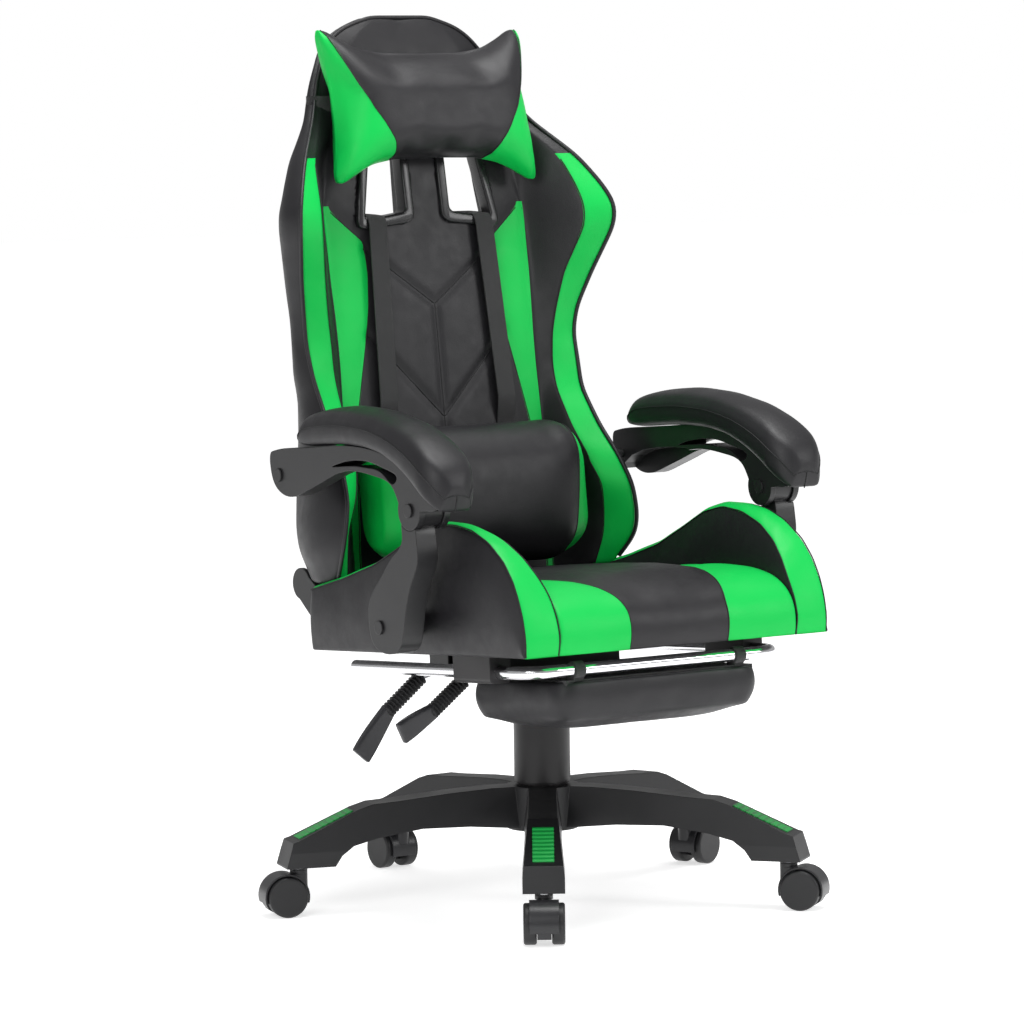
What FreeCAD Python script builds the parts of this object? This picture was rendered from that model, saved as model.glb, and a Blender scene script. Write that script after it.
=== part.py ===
"""Gaming chair with a reclining back, linked armrests and a pull-out footrest.

Row frame: millimetres, +Z up, the sitter faces -Y and has +X on the left hand.
The origin is on the floor, on the axis of the gas column.
The model stands at its rest pose: column down, back upright, footrest stowed.
"""
import FreeCAD, Part
import os
from math import atan2, cos, degrees, hypot, pi, radians, sin, tan

os.makedirs("parts", exist_ok=True)

# ---------------------------------------------------------------- driving dimensions (mm, degrees)
CLEAR = 0.5                     # gap between pieces that move past each other
RUN_FIT = 0.05                  # radial clearance of a shaft in its bore

# base and casters
ARM_COUNT = 5
FIRST_ARM_ANGLE = -124.5
STEM_RADIUS = 320.0             # caster stems from the column axis
HUB_TOP = 146.0
HUB_BOTTOM = 91.0
HUB_RADIUS = 45.0
ARM_WIDTH = 51.0
ARM_TOP_WIDTH = 34.0
WHEEL_RADIUS = 25.0
WHEEL_WIDTH = 16.0
WHEEL_GAP = 18.0                # between the two wheels of a caster
CASTER_TRAIL = 19.0             # wheel axis outboard of the stem axis
HOOD_THICKNESS = 2.4
STEM_BORE_RADIUS = 5.5
AXLE_RADIUS = 3.0
INSERT_WIDTH = 26.0
INSERT_THICKNESS = 3.4

# gas column
GAS_TUBE_RADIUS = 25.0
GAS_TUBE_WALL = 2.0
GAS_TUBE_TOP = 232.0
GAS_TUBE_BOTTOM = 76.0
CYLINDER_RADIUS = 14.0
CYLINDER_WALL = 2.5
CYLINDER_BOTTOM = 100.0
CYLINDER_TOP = 302.0
ROD_RADIUS = 5.0
LIFT_STROKE = 75.0
COVER_WALL = 1.6
COVER_OUTER_RADIUS = 35.5
COVER_TOP_GAP = 0.4             # between the upper cover and the pan above it
PIN_TRAVEL = 6.0

# seat
SEAT_TILT = 3.53                # front edge up
SEAT_DATUM_Z = 327.7            # underside of the seat on the column axis
SEAT_REAR = 183.0
SEAT_FRONT = -297.0
SEAT_HALF_WIDTH = 225.0
CENTRE_HALF_WIDTH = 176.0
BOARD_THICKNESS = 12.0
BOARD_FRONT = -262.0
BOARD_REAR = 158.0
SIDE_PLATE_X = 208.0
SIDE_PLATE_THICKNESS = 5.0
SPACER_RADIUS = 14.0             # spacer that holds the armrest's upright off the seat
TRAY_HALF_WIDTH = 88.0
TRAY_FRONT = -46.0
TRAY_REAR = 122.0
TRAY_DEPTH = 40.0
TRAY_WALL = 3.0

# linked armrests
REAR_PIVOT = (156.0, 543.0)     # y, z where the armrest meets the back
FRONT_PIVOT = (-141.0, 516.0)   # y, z on top of the upright
LOWER_PIVOT = (-72.0, 370.0)    # y, z where the upright meets the seat
ARM_OUTER_X = 285.0
ARM_INNER_X = 241.0
UPRIGHT_INNER_X = 256.0
CHEEK = 8.0                     # thickness of the two discs beside the barrel
BARREL_RADIUS = 23.0
LINK_PIN_RADIUS = 5.0
CAP_RADIUS = 8.5
CAP_HEIGHT = 2.5
REAR_BORE_EXTRA = 0.5           # the open pivot of the linkage has this much play
PAD_INNER_X = 219.0
PAD_OUTER_X = 305.0

# back
HINGE_PIN_RADIUS = 8.0
HINGE_TUBE_RADIUS = 12.0
HINGE_RELIEF_RADIUS = 25.0
FRAME_TUBE_RADIUS = 11.0
FRAME_TUBE_X = 130.0
CENTRE_BACK_HALF = 150.0        # half width of the flat middle of the back
BACK_BOTTOM = 405.0
HEAD_START = 842.0              # the head section starts here
HEAD_FULL = 955.0               # and is full width from here up
BACK_TOP = 1114.0
RIM_WALL = 13.0
RIM_PROUD = 4.0
STRAP_WIDTH = 26.0
STRAP_THICKNESS = 2.0
STRAP_X = 92.0
LUMBAR_HALF_WIDTH = 150.0
LUMBAR_BOTTOM = 410.0
LUMBAR_TOP = 597.0
LUMBAR_DEPTH = 112.0
LUMBAR_TRAVEL = 120.0
HEAD_PILLOW_HALF = 148.0
HEAD_PILLOW_BOTTOM = 900.0
HEAD_PILLOW_TOP = 1098.0
HEAD_PILLOW_DEPTH = 78.0

# footrest
RAIL_X = 190.0
RAIL_RADIUS = 8.0
RAIL_DROP = 21.5                # rail axis below the underside of the seat
RAIL_REAR = 135.0
RAIL_FRONT = -250.0
RAIL_BEND = 40.0
FOOTREST_TRAVEL = 230.0
GUIDE_FRONT = -190.0
GUIDE_REAR = -110.0
FOOT_HALF_WIDTH = 148.0
FOOT_FRONT = -262.0
FOOT_REAR = -55.0
FOOT_BOARD_DROP = 34.0          # top of the footrest board below the underside of the seat
FOOT_BOARD_THICKNESS = 6.0
FOOT_CUSHION_THICKNESS = 52.0
KNUCKLE_X = 120.0               # the foot pad turns on two knuckles

# levers
LEVER_PIVOT_X = -35.0
LEVER_PIVOT_Z = 306.0
LEVER_ROD_RADIUS = 4.0
SLEEVE_RADIUS = 8.5
HEIGHT_LEVER_Y = -20.0
RECLINE_LEVER_Y = 69.0
BOLT_RADIUS = 4.0

ORIGIN = FreeCAD.Vector(0, 0, 0)
X_AXIS = FreeCAD.Vector(1, 0, 0)
Y_AXIS = FreeCAD.Vector(0, 1, 0)
Z_AXIS = FreeCAD.Vector(0, 0, 1)

# hinge of the back: the armrest linkage is a parallelogram, so this point follows from the others
HINGE_Y = REAR_PIVOT[0] - (FRONT_PIVOT[0] - LOWER_PIVOT[0])
HINGE_Z = REAR_PIVOT[1] - (FRONT_PIVOT[1] - LOWER_PIVOT[1])


# ---------------------------------------------------------------- shape tools
def point(x, y, z):
    return FreeCAD.Vector(x, y, z)


def block(x_range, y_range, z_range):
    low = point(x_range[0], y_range[0], z_range[0])
    return Part.makeBox(x_range[1] - x_range[0], y_range[1] - y_range[0], z_range[1] - z_range[0], low)


def rod(radius, start, end):
    return Part.makeCylinder(radius, (end - start).Length, start, end - start)


def pipe(outer, inner, start, end):
    return rod(outer, start, end).cut(rod(inner, start, end))


def cone(radius_start, radius_end, start, end):
    return Part.makeCone(radius_start, radius_end, (end - start).Length, start, end - start)


def prism(corners, depth):
    """Extrude a closed polygon of 3-D corners along a vector."""
    return Part.Face(Part.makePolygon(corners + corners[:1])).extrude(depth)


def side_prism(outline, x_start, x_end):
    """Extrude a (y, z) outline from x_start to x_end."""
    return prism([point(x_start, y, z) for y, z in outline], point(x_end - x_start, 0, 0))


def smooth_side_prism(outline, x_start, x_end):
    """Extrude a closed (y, z) outline that runs smoothly through its points."""
    curve = Part.BSplineCurve()
    curve.interpolate(Points=[point(x_start, y, z) for y, z in outline], PeriodicFlag=True)
    return Part.Face(Part.Wire([curve.toShape()])).extrude(point(x_end - x_start, 0, 0))


def fuse(shapes):
    return shapes[0].multiFuse(shapes[1:]).removeSplitter() if len(shapes) > 1 else shapes[0]


def mirrored(shape):
    return shape.mirror(ORIGIN, X_AXIS)


def turned(shape, angle):
    copy = shape.copy()
    copy.rotate(ORIGIN, Z_AXIS, angle)
    return copy


def seated(shape):
    """Take a shape from the level seat frame (z = 0 at the seat's underside) to its tilted place."""
    copy = shape.copy()
    copy.translate(point(0, 0, SEAT_DATUM_Z))
    copy.rotate(point(0, 0, SEAT_DATUM_Z), X_AXIS, -SEAT_TILT)
    return copy


def seat_underside(y):
    return SEAT_DATUM_Z - tan(radians(SEAT_TILT)) * y


def rounded(shape, radius, pick):
    """Round the edges that pick() chooses; an edge's middle point is handed to it."""
    edges = [edge for edge in shape.Edges if edge.Length > radius and pick(edge)]
    return shape.makeFillet(radius, edges) if edges else shape


def without_slivers(shape):
    """Keep the solids over 1 cm3: cutting a ruled loft can leave flakes with no real size."""
    solids = [solid for solid in shape.Solids if solid.Volume > 1000.0]
    return solids[0] if len(solids) == 1 else Part.makeCompound(solids)


def save(name, shape):
    shape.exportStep("parts/" + name + ".step")
    print(name, len(shape.Solids), "solids", round(shape.Volume / 1000.0, 1), "cm3", shape.isValid())


# ---------------------------------------------------------------- five-armed base
ARM_TOP = [(0, HUB_TOP), (70, HUB_TOP), (125, 143), (195, 137), (228, 135), (248, 129), (325, 95), (332, 93)]
ARM_FOOT = [(341, 63), (341, 61), (279, 61)]
ARM_ARCH = [(270, 74), (255, 85), (223, 93), (165, 101), (103, 100), (0, HUB_BOTTOM)]


def arm_outline(width_y):
    return [point(r, -width_y / 2, z) for r, z in ARM_TOP + ARM_FOOT + ARM_ARCH]


def base_arm():
    arm = prism(arm_outline(ARM_WIDTH + 10), point(0, ARM_WIDTH + 10, 0))
    # a keystone section: narrow along the top, wide along the skirt
    half_low = ARM_WIDTH / 2
    half_top = ARM_TOP_WIDTH / 2
    keystone = prism([point(0, -half_low, 60), point(0, half_low, 60), point(0, half_low, 80),
                      point(0, half_top, 150), point(0, -half_top, 150), point(0, -half_low, 80)],
                     point(STEM_RADIUS + 30, 0, 0))
    arm = arm.common(keystone)
    # hollow underside with one lengthwise rib
    web = [(62, HUB_TOP - 7), (125, 136), (195, 130), (236, 122), (252, 60), (62, 60)]
    for side in (-1, 1):
        y_in = side * 2.0
        y_out = side * (ARM_TOP_WIDTH / 2 - 4.0)
        pocket = [point(r, min(y_in, y_out), z) for r, z in web]
        arm = arm.cut(prism(pocket, point(0, abs(y_out - y_in), 0)))
    return arm


def insert_slab(grow, depth):
    """The coloured plate on the sloping end of an arm; grow widens the pocket that holds it."""
    start = point(252 - grow, 0, 127.3 + grow * 0.44)
    end = point(322 + grow, 0, 96.3 - grow * 0.44)
    along = end - start
    normal = point(-along.z, 0, along.x)
    normal.normalize()
    half = INSERT_WIDTH / 2 + grow
    corners = [start + normal * 1.0, end + normal * 1.0, end - normal * depth, start - normal * depth]
    corners = [corner - point(0, half, 0) for corner in corners]
    return prism(corners, point(0, 2 * half, 0))


def base_star():
    arms = []
    for number in range(ARM_COUNT):
        arms.append(turned(base_arm(), FIRST_ARM_ANGLE + number * 360.0 / ARM_COUNT))
    hub = rod(HUB_RADIUS, point(0, 0, HUB_BOTTOM), point(0, 0, HUB_TOP))
    star = fuse([hub] + arms)
    star = star.cut(gas_taper())
    for number in range(ARM_COUNT):
        angle = FIRST_ARM_ANGLE + number * 360.0 / ARM_COUNT
        star = star.cut(turned(insert_slab(0.0, INSERT_THICKNESS), angle))
        socket = rod(STEM_BORE_RADIUS, point(STEM_RADIUS, 0, 50), point(STEM_RADIUS, 0, 86))
        star = star.cut(turned(socket, angle))
    return star


def arm_inserts():
    plates = []
    for number in range(ARM_COUNT):
        angle = FIRST_ARM_ANGLE + number * 360.0 / ARM_COUNT
        plates.append(turned(insert_slab(0.0, INSERT_THICKNESS), angle))
    return Part.makeCompound(plates)


# ---------------------------------------------------------------- casters
STEM_PIN_RADIUS = STEM_BORE_RADIUS - RUN_FIT
HOOD_TOP = 57.0
NECK_RADIUS = 11.0


def caster_parts(angle):
    """Hood, steel pins and the two wheels of one caster, trailing away from the column."""
    axle_x = STEM_RADIUS + CASTER_TRAIL
    centre = point(axle_x, 0, WHEEL_RADIUS)
    web_half = WHEEL_GAP / 2 - CLEAR
    outer_half = WHEEL_GAP / 2 + WHEEL_WIDTH * 0.55
    shell_out = WHEEL_RADIUS + 1.2 + HOOD_THICKNESS
    shell_in = WHEEL_RADIUS + 1.2

    def across(half):
        return point(axle_x, -half, WHEEL_RADIUS), point(axle_x, half, WHEEL_RADIUS)

    shell = pipe(shell_out, shell_in, *across(outer_half))
    keep = block((axle_x - 60, axle_x + 60), (-40, 40), (WHEEL_RADIUS - 8, 90))
    shell = shell.common(keep)
    web = rod(shell_in + 0.5, *across(web_half))
    mouth = block((axle_x - 60, axle_x - 2), (-40, 40), (-10, WHEEL_RADIUS - 8))
    web = web.cut(mouth).cut(block((axle_x - 60, axle_x + 60), (-40, 40), (-10, 9)))
    neck = rod(NECK_RADIUS, point(STEM_RADIUS, 0, WHEEL_RADIUS + 8), point(STEM_RADIUS, 0, HOOD_TOP))
    neck = neck.cut(block((axle_x - 60, axle_x + 60), (web_half, 40), (0, WHEEL_RADIUS + 27)))
    neck = neck.cut(block((axle_x - 60, axle_x + 60), (-40, -web_half), (0, WHEEL_RADIUS + 27)))
    hood = fuse([web, shell, neck])
    stem = rod(STEM_PIN_RADIUS, point(STEM_RADIUS, 0, 38), point(STEM_RADIUS, 0, 85.5))
    axle_half = WHEEL_GAP / 2 + WHEEL_WIDTH - 2
    axle = rod(AXLE_RADIUS, *across(axle_half))
    hood = hood.cut(stem).cut(axle)
    wheels = []
    for side in (-1, 1):
        inner = point(axle_x, side * WHEEL_GAP / 2, WHEEL_RADIUS)
        outer = point(axle_x, side * (WHEEL_GAP / 2 + WHEEL_WIDTH), WHEEL_RADIUS)
        wheel = rod(WHEEL_RADIUS, inner, outer)
        wheel = rounded(wheel, 3.0, lambda edge: edge.Length > 2 * pi * WHEEL_RADIUS - 1)
        end = inner + (outer - inner) * ((WHEEL_WIDTH - 2 + RUN_FIT) / WHEEL_WIDTH)
        wheels.append(wheel.cut(rod(AXLE_RADIUS + RUN_FIT, inner, end)))
    pins = Part.makeCompound([stem, axle])
    return turned(hood, angle), turned(pins, angle), turned(Part.makeCompound(wheels), angle)


# ---------------------------------------------------------------- gas column
def gas_taper():
    """The outside of the pressure tube where it sits in the hub's taper."""
    low = cone(GAS_TUBE_RADIUS - 1.6, GAS_TUBE_RADIUS, point(0, 0, GAS_TUBE_BOTTOM), point(0, 0, HUB_TOP))
    return low.fuse(rod(GAS_TUBE_RADIUS, point(0, 0, HUB_TOP), point(0, 0, GAS_TUBE_TOP))).removeSplitter()


TUBE_FLOOR = 4.0
CLIP_THICKNESS = 2.0
BEARING_HEIGHT = 5.0
ROD_SHOULDER = 9.0


def gas_outer_tube():
    inside = rod(GAS_TUBE_RADIUS - 1.6 - GAS_TUBE_WALL, point(0, 0, GAS_TUBE_BOTTOM + TUBE_FLOOR),
                 point(0, 0, GAS_TUBE_TOP))
    foot = rod(ROD_RADIUS + RUN_FIT, point(0, 0, 0), point(0, 0, HUB_TOP))
    return gas_taper().cut(inside).cut(foot)


def gas_guide_bush():
    outer = GAS_TUBE_RADIUS - 1.6 - GAS_TUBE_WALL
    low = point(0, 0, GAS_TUBE_TOP - 60)
    high = point(0, 0, GAS_TUBE_TOP + 3)
    bush = rod(outer, low, high).cut(rod(CYLINDER_RADIUS + RUN_FIT, low, high))
    lip = pipe(GAS_TUBE_RADIUS, CYLINDER_RADIUS + RUN_FIT, point(0, 0, GAS_TUBE_TOP), high)
    return fuse([bush, lip])


def thrust_bearing():
    low = GAS_TUBE_BOTTOM + TUBE_FLOOR
    return pipe(16.0, ROD_RADIUS + RUN_FIT, point(0, 0, low), point(0, 0, low + BEARING_HEIGHT))


def gas_piston_rod():
    top = CYLINDER_TOP - 30
    bottom = GAS_TUBE_BOTTOM - CLIP_THICKNESS - 3
    shaft = rod(ROD_RADIUS, point(0, 0, bottom), point(0, 0, top))
    low = GAS_TUBE_BOTTOM + TUBE_FLOOR + BEARING_HEIGHT + 0.1
    shoulder = rod(ROD_SHOULDER, point(0, 0, low), point(0, 0, low + 3))
    piston = rod(CYLINDER_RADIUS - CYLINDER_WALL - RUN_FIT, point(0, 0, top - 12), point(0, 0, top))
    clip_top = GAS_TUBE_BOTTOM - 0.1
    clip = rod(ROD_RADIUS + 3, point(0, 0, clip_top - CLIP_THICKNESS), point(0, 0, clip_top))
    return fuse([shaft, shoulder, piston, clip])


VALVE_RADIUS = 3.0


def gas_cylinder():
    outside = rod(CYLINDER_RADIUS, point(0, 0, CYLINDER_BOTTOM), point(0, 0, CYLINDER_TOP))
    bore = rod(CYLINDER_RADIUS - CYLINDER_WALL, point(0, 0, CYLINDER_BOTTOM + 10),
               point(0, 0, CYLINDER_TOP - 12))
    gland = rod(ROD_RADIUS + RUN_FIT, point(0, 0, CYLINDER_BOTTOM), point(0, 0, CYLINDER_BOTTOM + 10))
    valve = rod(VALVE_RADIUS + RUN_FIT, point(0, 0, CYLINDER_TOP - 12), point(0, 0, CYLINDER_TOP))
    return outside.cut(bore).cut(gland).cut(valve)


def gas_valve_pin():
    return rod(VALVE_RADIUS, point(0, 0, CYLINDER_TOP - 11), point(0, 0, CYLINDER_TOP + PIN_TRAVEL))


def column_cover(number):
    """Three telescopic covers: 0 is the lowest and narrowest, 2 hangs from the mechanism."""
    outer = COVER_OUTER_RADIUS - (2 - number) * (COVER_WALL + CLEAR)
    cover_top = seat_underside(COVER_OUTER_RADIUS) - TRAY_DEPTH - COVER_TOP_GAP
    ranges = [(HUB_TOP, 205.0), (HUB_TOP + 2.0, 215.0), (HUB_TOP + 4.0, cover_top)]
    low, high = ranges[number]
    return pipe(outer, outer - COVER_WALL, point(0, 0, low), point(0, 0, high))


# ---------------------------------------------------------------- seat frame
def mechanism_tray():
    """Pressed steel pan under the board, with the taper socket that the gas cylinder seats in."""
    pan = block((-TRAY_HALF_WIDTH, TRAY_HALF_WIDTH), (TRAY_FRONT, TRAY_REAR), (-TRAY_DEPTH, 0))
    inner = block((-TRAY_HALF_WIDTH + TRAY_WALL, TRAY_HALF_WIDTH - TRAY_WALL),
                  (TRAY_FRONT + TRAY_WALL, TRAY_REAR - TRAY_WALL), (-TRAY_DEPTH + TRAY_WALL, 1))
    flange = block((-TRAY_HALF_WIDTH - 22, TRAY_HALF_WIDTH + 22), (TRAY_FRONT, TRAY_REAR), (-TRAY_WALL, 0))
    pan = seated(flange.fuse(pan).cut(inner))
    socket_low = SEAT_DATUM_Z - TRAY_DEPTH - 1
    socket = rod(CYLINDER_RADIUS + 6, point(0, 0, socket_low - 2), point(0, 0, CYLINDER_TOP - 2))
    tray = fuse([pan, socket])
    tray = tray.cut(rod(CYLINDER_RADIUS, point(0, 0, 0), point(0, 0, CYLINDER_TOP + 20)))
    for lever_y in (HEIGHT_LEVER_Y, RECLINE_LEVER_Y):
        window = block((-TRAY_HALF_WIDTH - 5, -TRAY_HALF_WIDTH + 6), (lever_y - 9, lever_y + 9), (260, 317))
        tray = tray.cut(window)
    pivot = rod(3.0, point(LEVER_PIVOT_X, TRAY_FRONT + 0.5, LEVER_PIVOT_Z),
                point(LEVER_PIVOT_X, TRAY_REAR - 0.5, LEVER_PIVOT_Z))
    return fuse([tray, pivot]).cut(Part.makeCompound(seat_bolt_solids()))


def board_blank(grow):
    half = SIDE_PLATE_X
    return block((-half, half), (BOARD_FRONT, BOARD_REAR), (0, BOARD_THICKNESS + grow))


def seat_board():
    return seated(board_blank(0)).cut(Part.makeCompound(seat_bolt_solids()))


def seat_bolt_solids():
    bolts = []
    for x in (-TRAY_HALF_WIDTH - 11, TRAY_HALF_WIDTH + 11):
        for y in (TRAY_FRONT + 14, TRAY_REAR - 14):
            head = rod(BOLT_RADIUS * 1.6, point(x, y, -TRAY_WALL - 4), point(x, y, -TRAY_WALL))
            shank = rod(BOLT_RADIUS, point(x, y, -TRAY_WALL), point(x, y, BOARD_THICKNESS - 1))
            bolts.append(seated(head.fuse(shank).removeSplitter()))
    return bolts


def side_plate(side):
    """Steel plate along the board's edge: carries the back's hinge and the armrest's lower bolt."""
    x_low = SIDE_PLATE_X if side > 0 else -SIDE_PLATE_X - SIDE_PLATE_THICKNESS
    x_high = x_low + SIDE_PLATE_THICKNESS
    y_low, z_low = LOWER_PIVOT
    foot = -26.0
    rail = [(y_low - 30, seat_underside(y_low - 30) + 4), (BOARD_REAR - 2, seat_underside(BOARD_REAR) + 4),
            (HINGE_Y + 13, HINGE_Z - 13), (HINGE_Y - 8, HINGE_Z + 16), (BOARD_REAR + foot, 360),
            (y_low + 30, 356), (y_low + 14, z_low + 10), (y_low - 14, z_low + 10)]
    plate = side_prism(rail, x_low, x_high)
    for (y, z), radius in (((HINGE_Y, HINGE_Z), 20.0), ((y_low, z_low), 16.0)):
        plate = plate.fuse(rod(radius, point(x_low, y, z), point(x_high, y, z)))
    spacer = rod(SPACER_RADIUS, point(side * SIDE_PLATE_X, y_low, z_low),
                 point(side * (UPRIGHT_INNER_X - CLEAR), y_low, z_low))
    plate = plate.fuse(spacer)
    pin_start = point(side * (SIDE_PLATE_X - 40), HINGE_Y, HINGE_Z)
    pin_end = point(side * SIDE_PLATE_X, HINGE_Y, HINGE_Z)
    plate = plate.fuse(rod(HINGE_PIN_RADIUS, pin_start, pin_end)).removeSplitter()
    return plate.cut(arm_bolt(side, LOWER_PIVOT, SIDE_PLATE_X))


def arm_bolt(side, pivot, x_start):
    """Bolt through an armrest joint, with the round cap that shows on the outside."""
    y, z = pivot
    shank_end = point(side * (ARM_OUTER_X + 0.2), y, z)
    cap_end = point(side * (ARM_OUTER_X + 0.2 + CAP_HEIGHT), y, z)
    shank = rod(LINK_PIN_RADIUS, point(side * x_start, y, z), shank_end)
    cap = rod(CAP_RADIUS, shank_end, cap_end)
    return shank.fuse(cap).removeSplitter()


def seat_arm_bolt_solids():
    return [arm_bolt(side, LOWER_PIVOT, SIDE_PLATE_X) for side in (-1, 1)]


# ---------------------------------------------------------------- seat cushions
CENTRE_PROFILE = [(SEAT_REAR, 392), (100, 401), (0, 410), (-100, 420), (-200, 426), (-262, 420),
                  (-290, 402), (-302, 375), (SEAT_FRONT, 346.2)]
BOLSTER_PROFILE = [(SEAT_REAR, 392), (158, 396), (90, 411), (1, 441), (-45, 468), (-95, 489),
                   (-140, 495), (-180, 491), (-222, 476), (-256, 450), (-279, 418), (-292, 388),
                   (SEAT_FRONT, 346.2)]


def seat_block(profile, x_low, x_high):
    outline = [(SEAT_REAR, seat_underside(SEAT_REAR))] + profile
    return side_prism(outline, x_low, x_high)


def seat_cushion():
    cushion = seat_block(CENTRE_PROFILE, -CENTRE_HALF_WIDTH, CENTRE_HALF_WIDTH)
    return cushion.cut(seated(board_blank(0)))


def seat_bolster(side):
    bolster = seat_block(BOLSTER_PROFILE, CENTRE_HALF_WIDTH, SEAT_HALF_WIDTH)
    slope = prism([point(CENTRE_HALF_WIDTH - 1, -400, 420), point(CENTRE_HALF_WIDTH + 24, -400, 500),
                   point(CENTRE_HALF_WIDTH - 1, -400, 500)], point(0, 700, 0))
    shoulder = prism([point(SEAT_HALF_WIDTH + 1, -400, 474), point(SEAT_HALF_WIDTH + 1, -400, 500),
                      point(SEAT_HALF_WIDTH - 12, -400, 500)], point(0, 700, 0))
    bolster = bolster.cut(slope).cut(shoulder)
    if side < 0:
        bolster = mirrored(bolster)
    bolster = bolster.cut(seated(board_blank(0)))
    return bolster.cut(side_plate(side)).cut(arm_bolt(side, LOWER_PIVOT, SIDE_PLATE_X))


# ---------------------------------------------------------------- levers
LEVER_LAYOUT = {"height": (HEIGHT_LEVER_Y, (-130, 289), (-177, 254), (-225, 231)),
                "recline": (RECLINE_LEVER_Y, (-135, 286), (-185, 247), (-228, 195))}


def lever(name):
    """Bent steel rod from the tray's cross pin, with a flat moulded paddle on its end."""
    y, knee, sleeve_end, tip = LEVER_LAYOUT[name]
    pivot = point(LEVER_PIVOT_X, y, LEVER_PIVOT_Z)
    knee_point = point(knee[0], y, knee[1])
    paddle_start = point(sleeve_end[0], y, sleeve_end[1])
    paddle_end = point(tip[0], y, tip[1])
    hub = rod(7.0, pivot - point(0, 6, 0), pivot + point(0, 6, 0))
    solids = [hub, rod(LEVER_ROD_RADIUS, pivot, knee_point), rod(LEVER_ROD_RADIUS, knee_point, paddle_start),
              Part.makeSphere(LEVER_ROD_RADIUS, knee_point)]
    along = paddle_end - paddle_start
    along.normalize()
    normal = point(-along.z, 0, along.x)
    start = paddle_start - along * 3.0
    corners = [start + normal * 6.0, paddle_end + normal * 5.0, paddle_end - normal * 5.0, start - normal * 6.0]
    corners = [corner - point(0, 12, 0) for corner in corners]
    solids.append(rounded(prism(corners, point(0, 24, 0)), 3.0, lambda edge: edge.Length > 8))
    if name == "height":
        # the tongue that presses the valve pin
        tongue_z = CYLINDER_TOP + PIN_TRAVEL + 0.5
        solids.append(block((LEVER_PIVOT_X, VALVE_RADIUS + 1.0), (y - 4, y + 24), (tongue_z, tongue_z + 3)))
    whole = fuse(solids)
    return whole.cut(rod(3.0 + RUN_FIT, pivot - point(0, 40, 0), pivot + point(0, 40, 0)))


def lever_sleeve(name):
    """Corrugated sleeve between the rod's knee and the paddle, modelled as its outer tube."""
    y, knee, sleeve_end, tip = LEVER_LAYOUT[name]
    start = point(knee[0], y, knee[1])
    end = point(sleeve_end[0], y, sleeve_end[1])
    along = end - start
    along.normalize()
    outside = rod(SLEEVE_RADIUS, start + along * 2, end - along * 3.5)
    return outside.cut(lever(name))


# ---------------------------------------------------------------- footrest
def footrest_rail():
    """U-shaped chromed tube, bent in the seat's plane."""
    z = -RAIL_DROP
    bend_y = RAIL_FRONT + RAIL_BEND
    bend_x = RAIL_X - RAIL_BEND
    path = [Part.makeLine(point(-RAIL_X, RAIL_REAR, z), point(-RAIL_X, bend_y, z))]
    corner = RAIL_BEND * sin(radians(45))
    path.append(Part.Arc(point(-RAIL_X, bend_y, z), point(-bend_x - corner, bend_y - corner, z),
                         point(-bend_x, RAIL_FRONT, z)).toShape())
    path.append(Part.makeLine(point(-bend_x, RAIL_FRONT, z), point(bend_x, RAIL_FRONT, z)))
    path.append(Part.Arc(point(bend_x, RAIL_FRONT, z), point(bend_x + corner, bend_y - corner, z),
                         point(RAIL_X, bend_y, z)).toShape())
    path.append(Part.makeLine(point(RAIL_X, bend_y, z), point(RAIL_X, RAIL_REAR, z)))
    circle = Part.Wire([Part.makeCircle(RAIL_RADIUS, point(-RAIL_X, RAIL_REAR, z), Y_AXIS)])
    return seated(Part.Wire(path).makePipeShell([circle], True, False))


def footrest_guides():
    guides = []
    for side in (-1, 1):
        x_range = (side * RAIL_X - 15, side * RAIL_X + 15)
        low = -RAIL_DROP - RAIL_RADIUS - 5
        guide = block(x_range, (GUIDE_FRONT, GUIDE_REAR), (low, 0))
        guide = rounded(guide, 6.0, lambda edge: abs(edge.CenterOfMass.z - low) < 0.1 and edge.Length > 50)
        bore = rod(RAIL_RADIUS + 0.1, point(side * RAIL_X, GUIDE_FRONT - 5, -RAIL_DROP),
                   point(side * RAIL_X, GUIDE_REAR + 5, -RAIL_DROP))
        guides.append(seated(guide.cut(bore)))
    return Part.makeCompound(guides)


def footrest_board():
    """Board of the foot pad, with two knuckles that turn on the rail's cross bar."""
    top = -FOOT_BOARD_DROP
    board = block((-FOOT_HALF_WIDTH + 8, FOOT_HALF_WIDTH - 8), (FOOT_FRONT + 8, FOOT_REAR - 8),
                  (top - FOOT_BOARD_THICKNESS, top))
    solids = [board]
    for x in (-KNUCKLE_X, KNUCKLE_X):
        start = point(x - 7, RAIL_FRONT, -RAIL_DROP)
        end = point(x + 7, RAIL_FRONT, -RAIL_DROP)
        solids.append(rod(RAIL_RADIUS + 2.5, start, end))
        solids.append(block((x - 7, x + 7), (RAIL_FRONT - 4, RAIL_FRONT + 12), (top - 1, -RAIL_DROP - 4)))
    board = fuse(solids)
    bar = rod(RAIL_RADIUS + 0.1, point(-RAIL_X, RAIL_FRONT, -RAIL_DROP), point(RAIL_X, RAIL_FRONT, -RAIL_DROP))
    return seated(board.cut(bar))


def footrest_cushion():
    top = -FOOT_BOARD_DROP
    pad = block((-FOOT_HALF_WIDTH, FOOT_HALF_WIDTH), (FOOT_FRONT, FOOT_REAR),
                (top - FOOT_BOARD_THICKNESS - FOOT_CUSHION_THICKNESS, top))
    low = top - FOOT_BOARD_THICKNESS - FOOT_CUSHION_THICKNESS
    pad = rounded(pad, 14.0, lambda edge: abs(edge.CenterOfMass.z - low) < 0.1)
    return seated(pad).cut(footrest_board())


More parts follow.
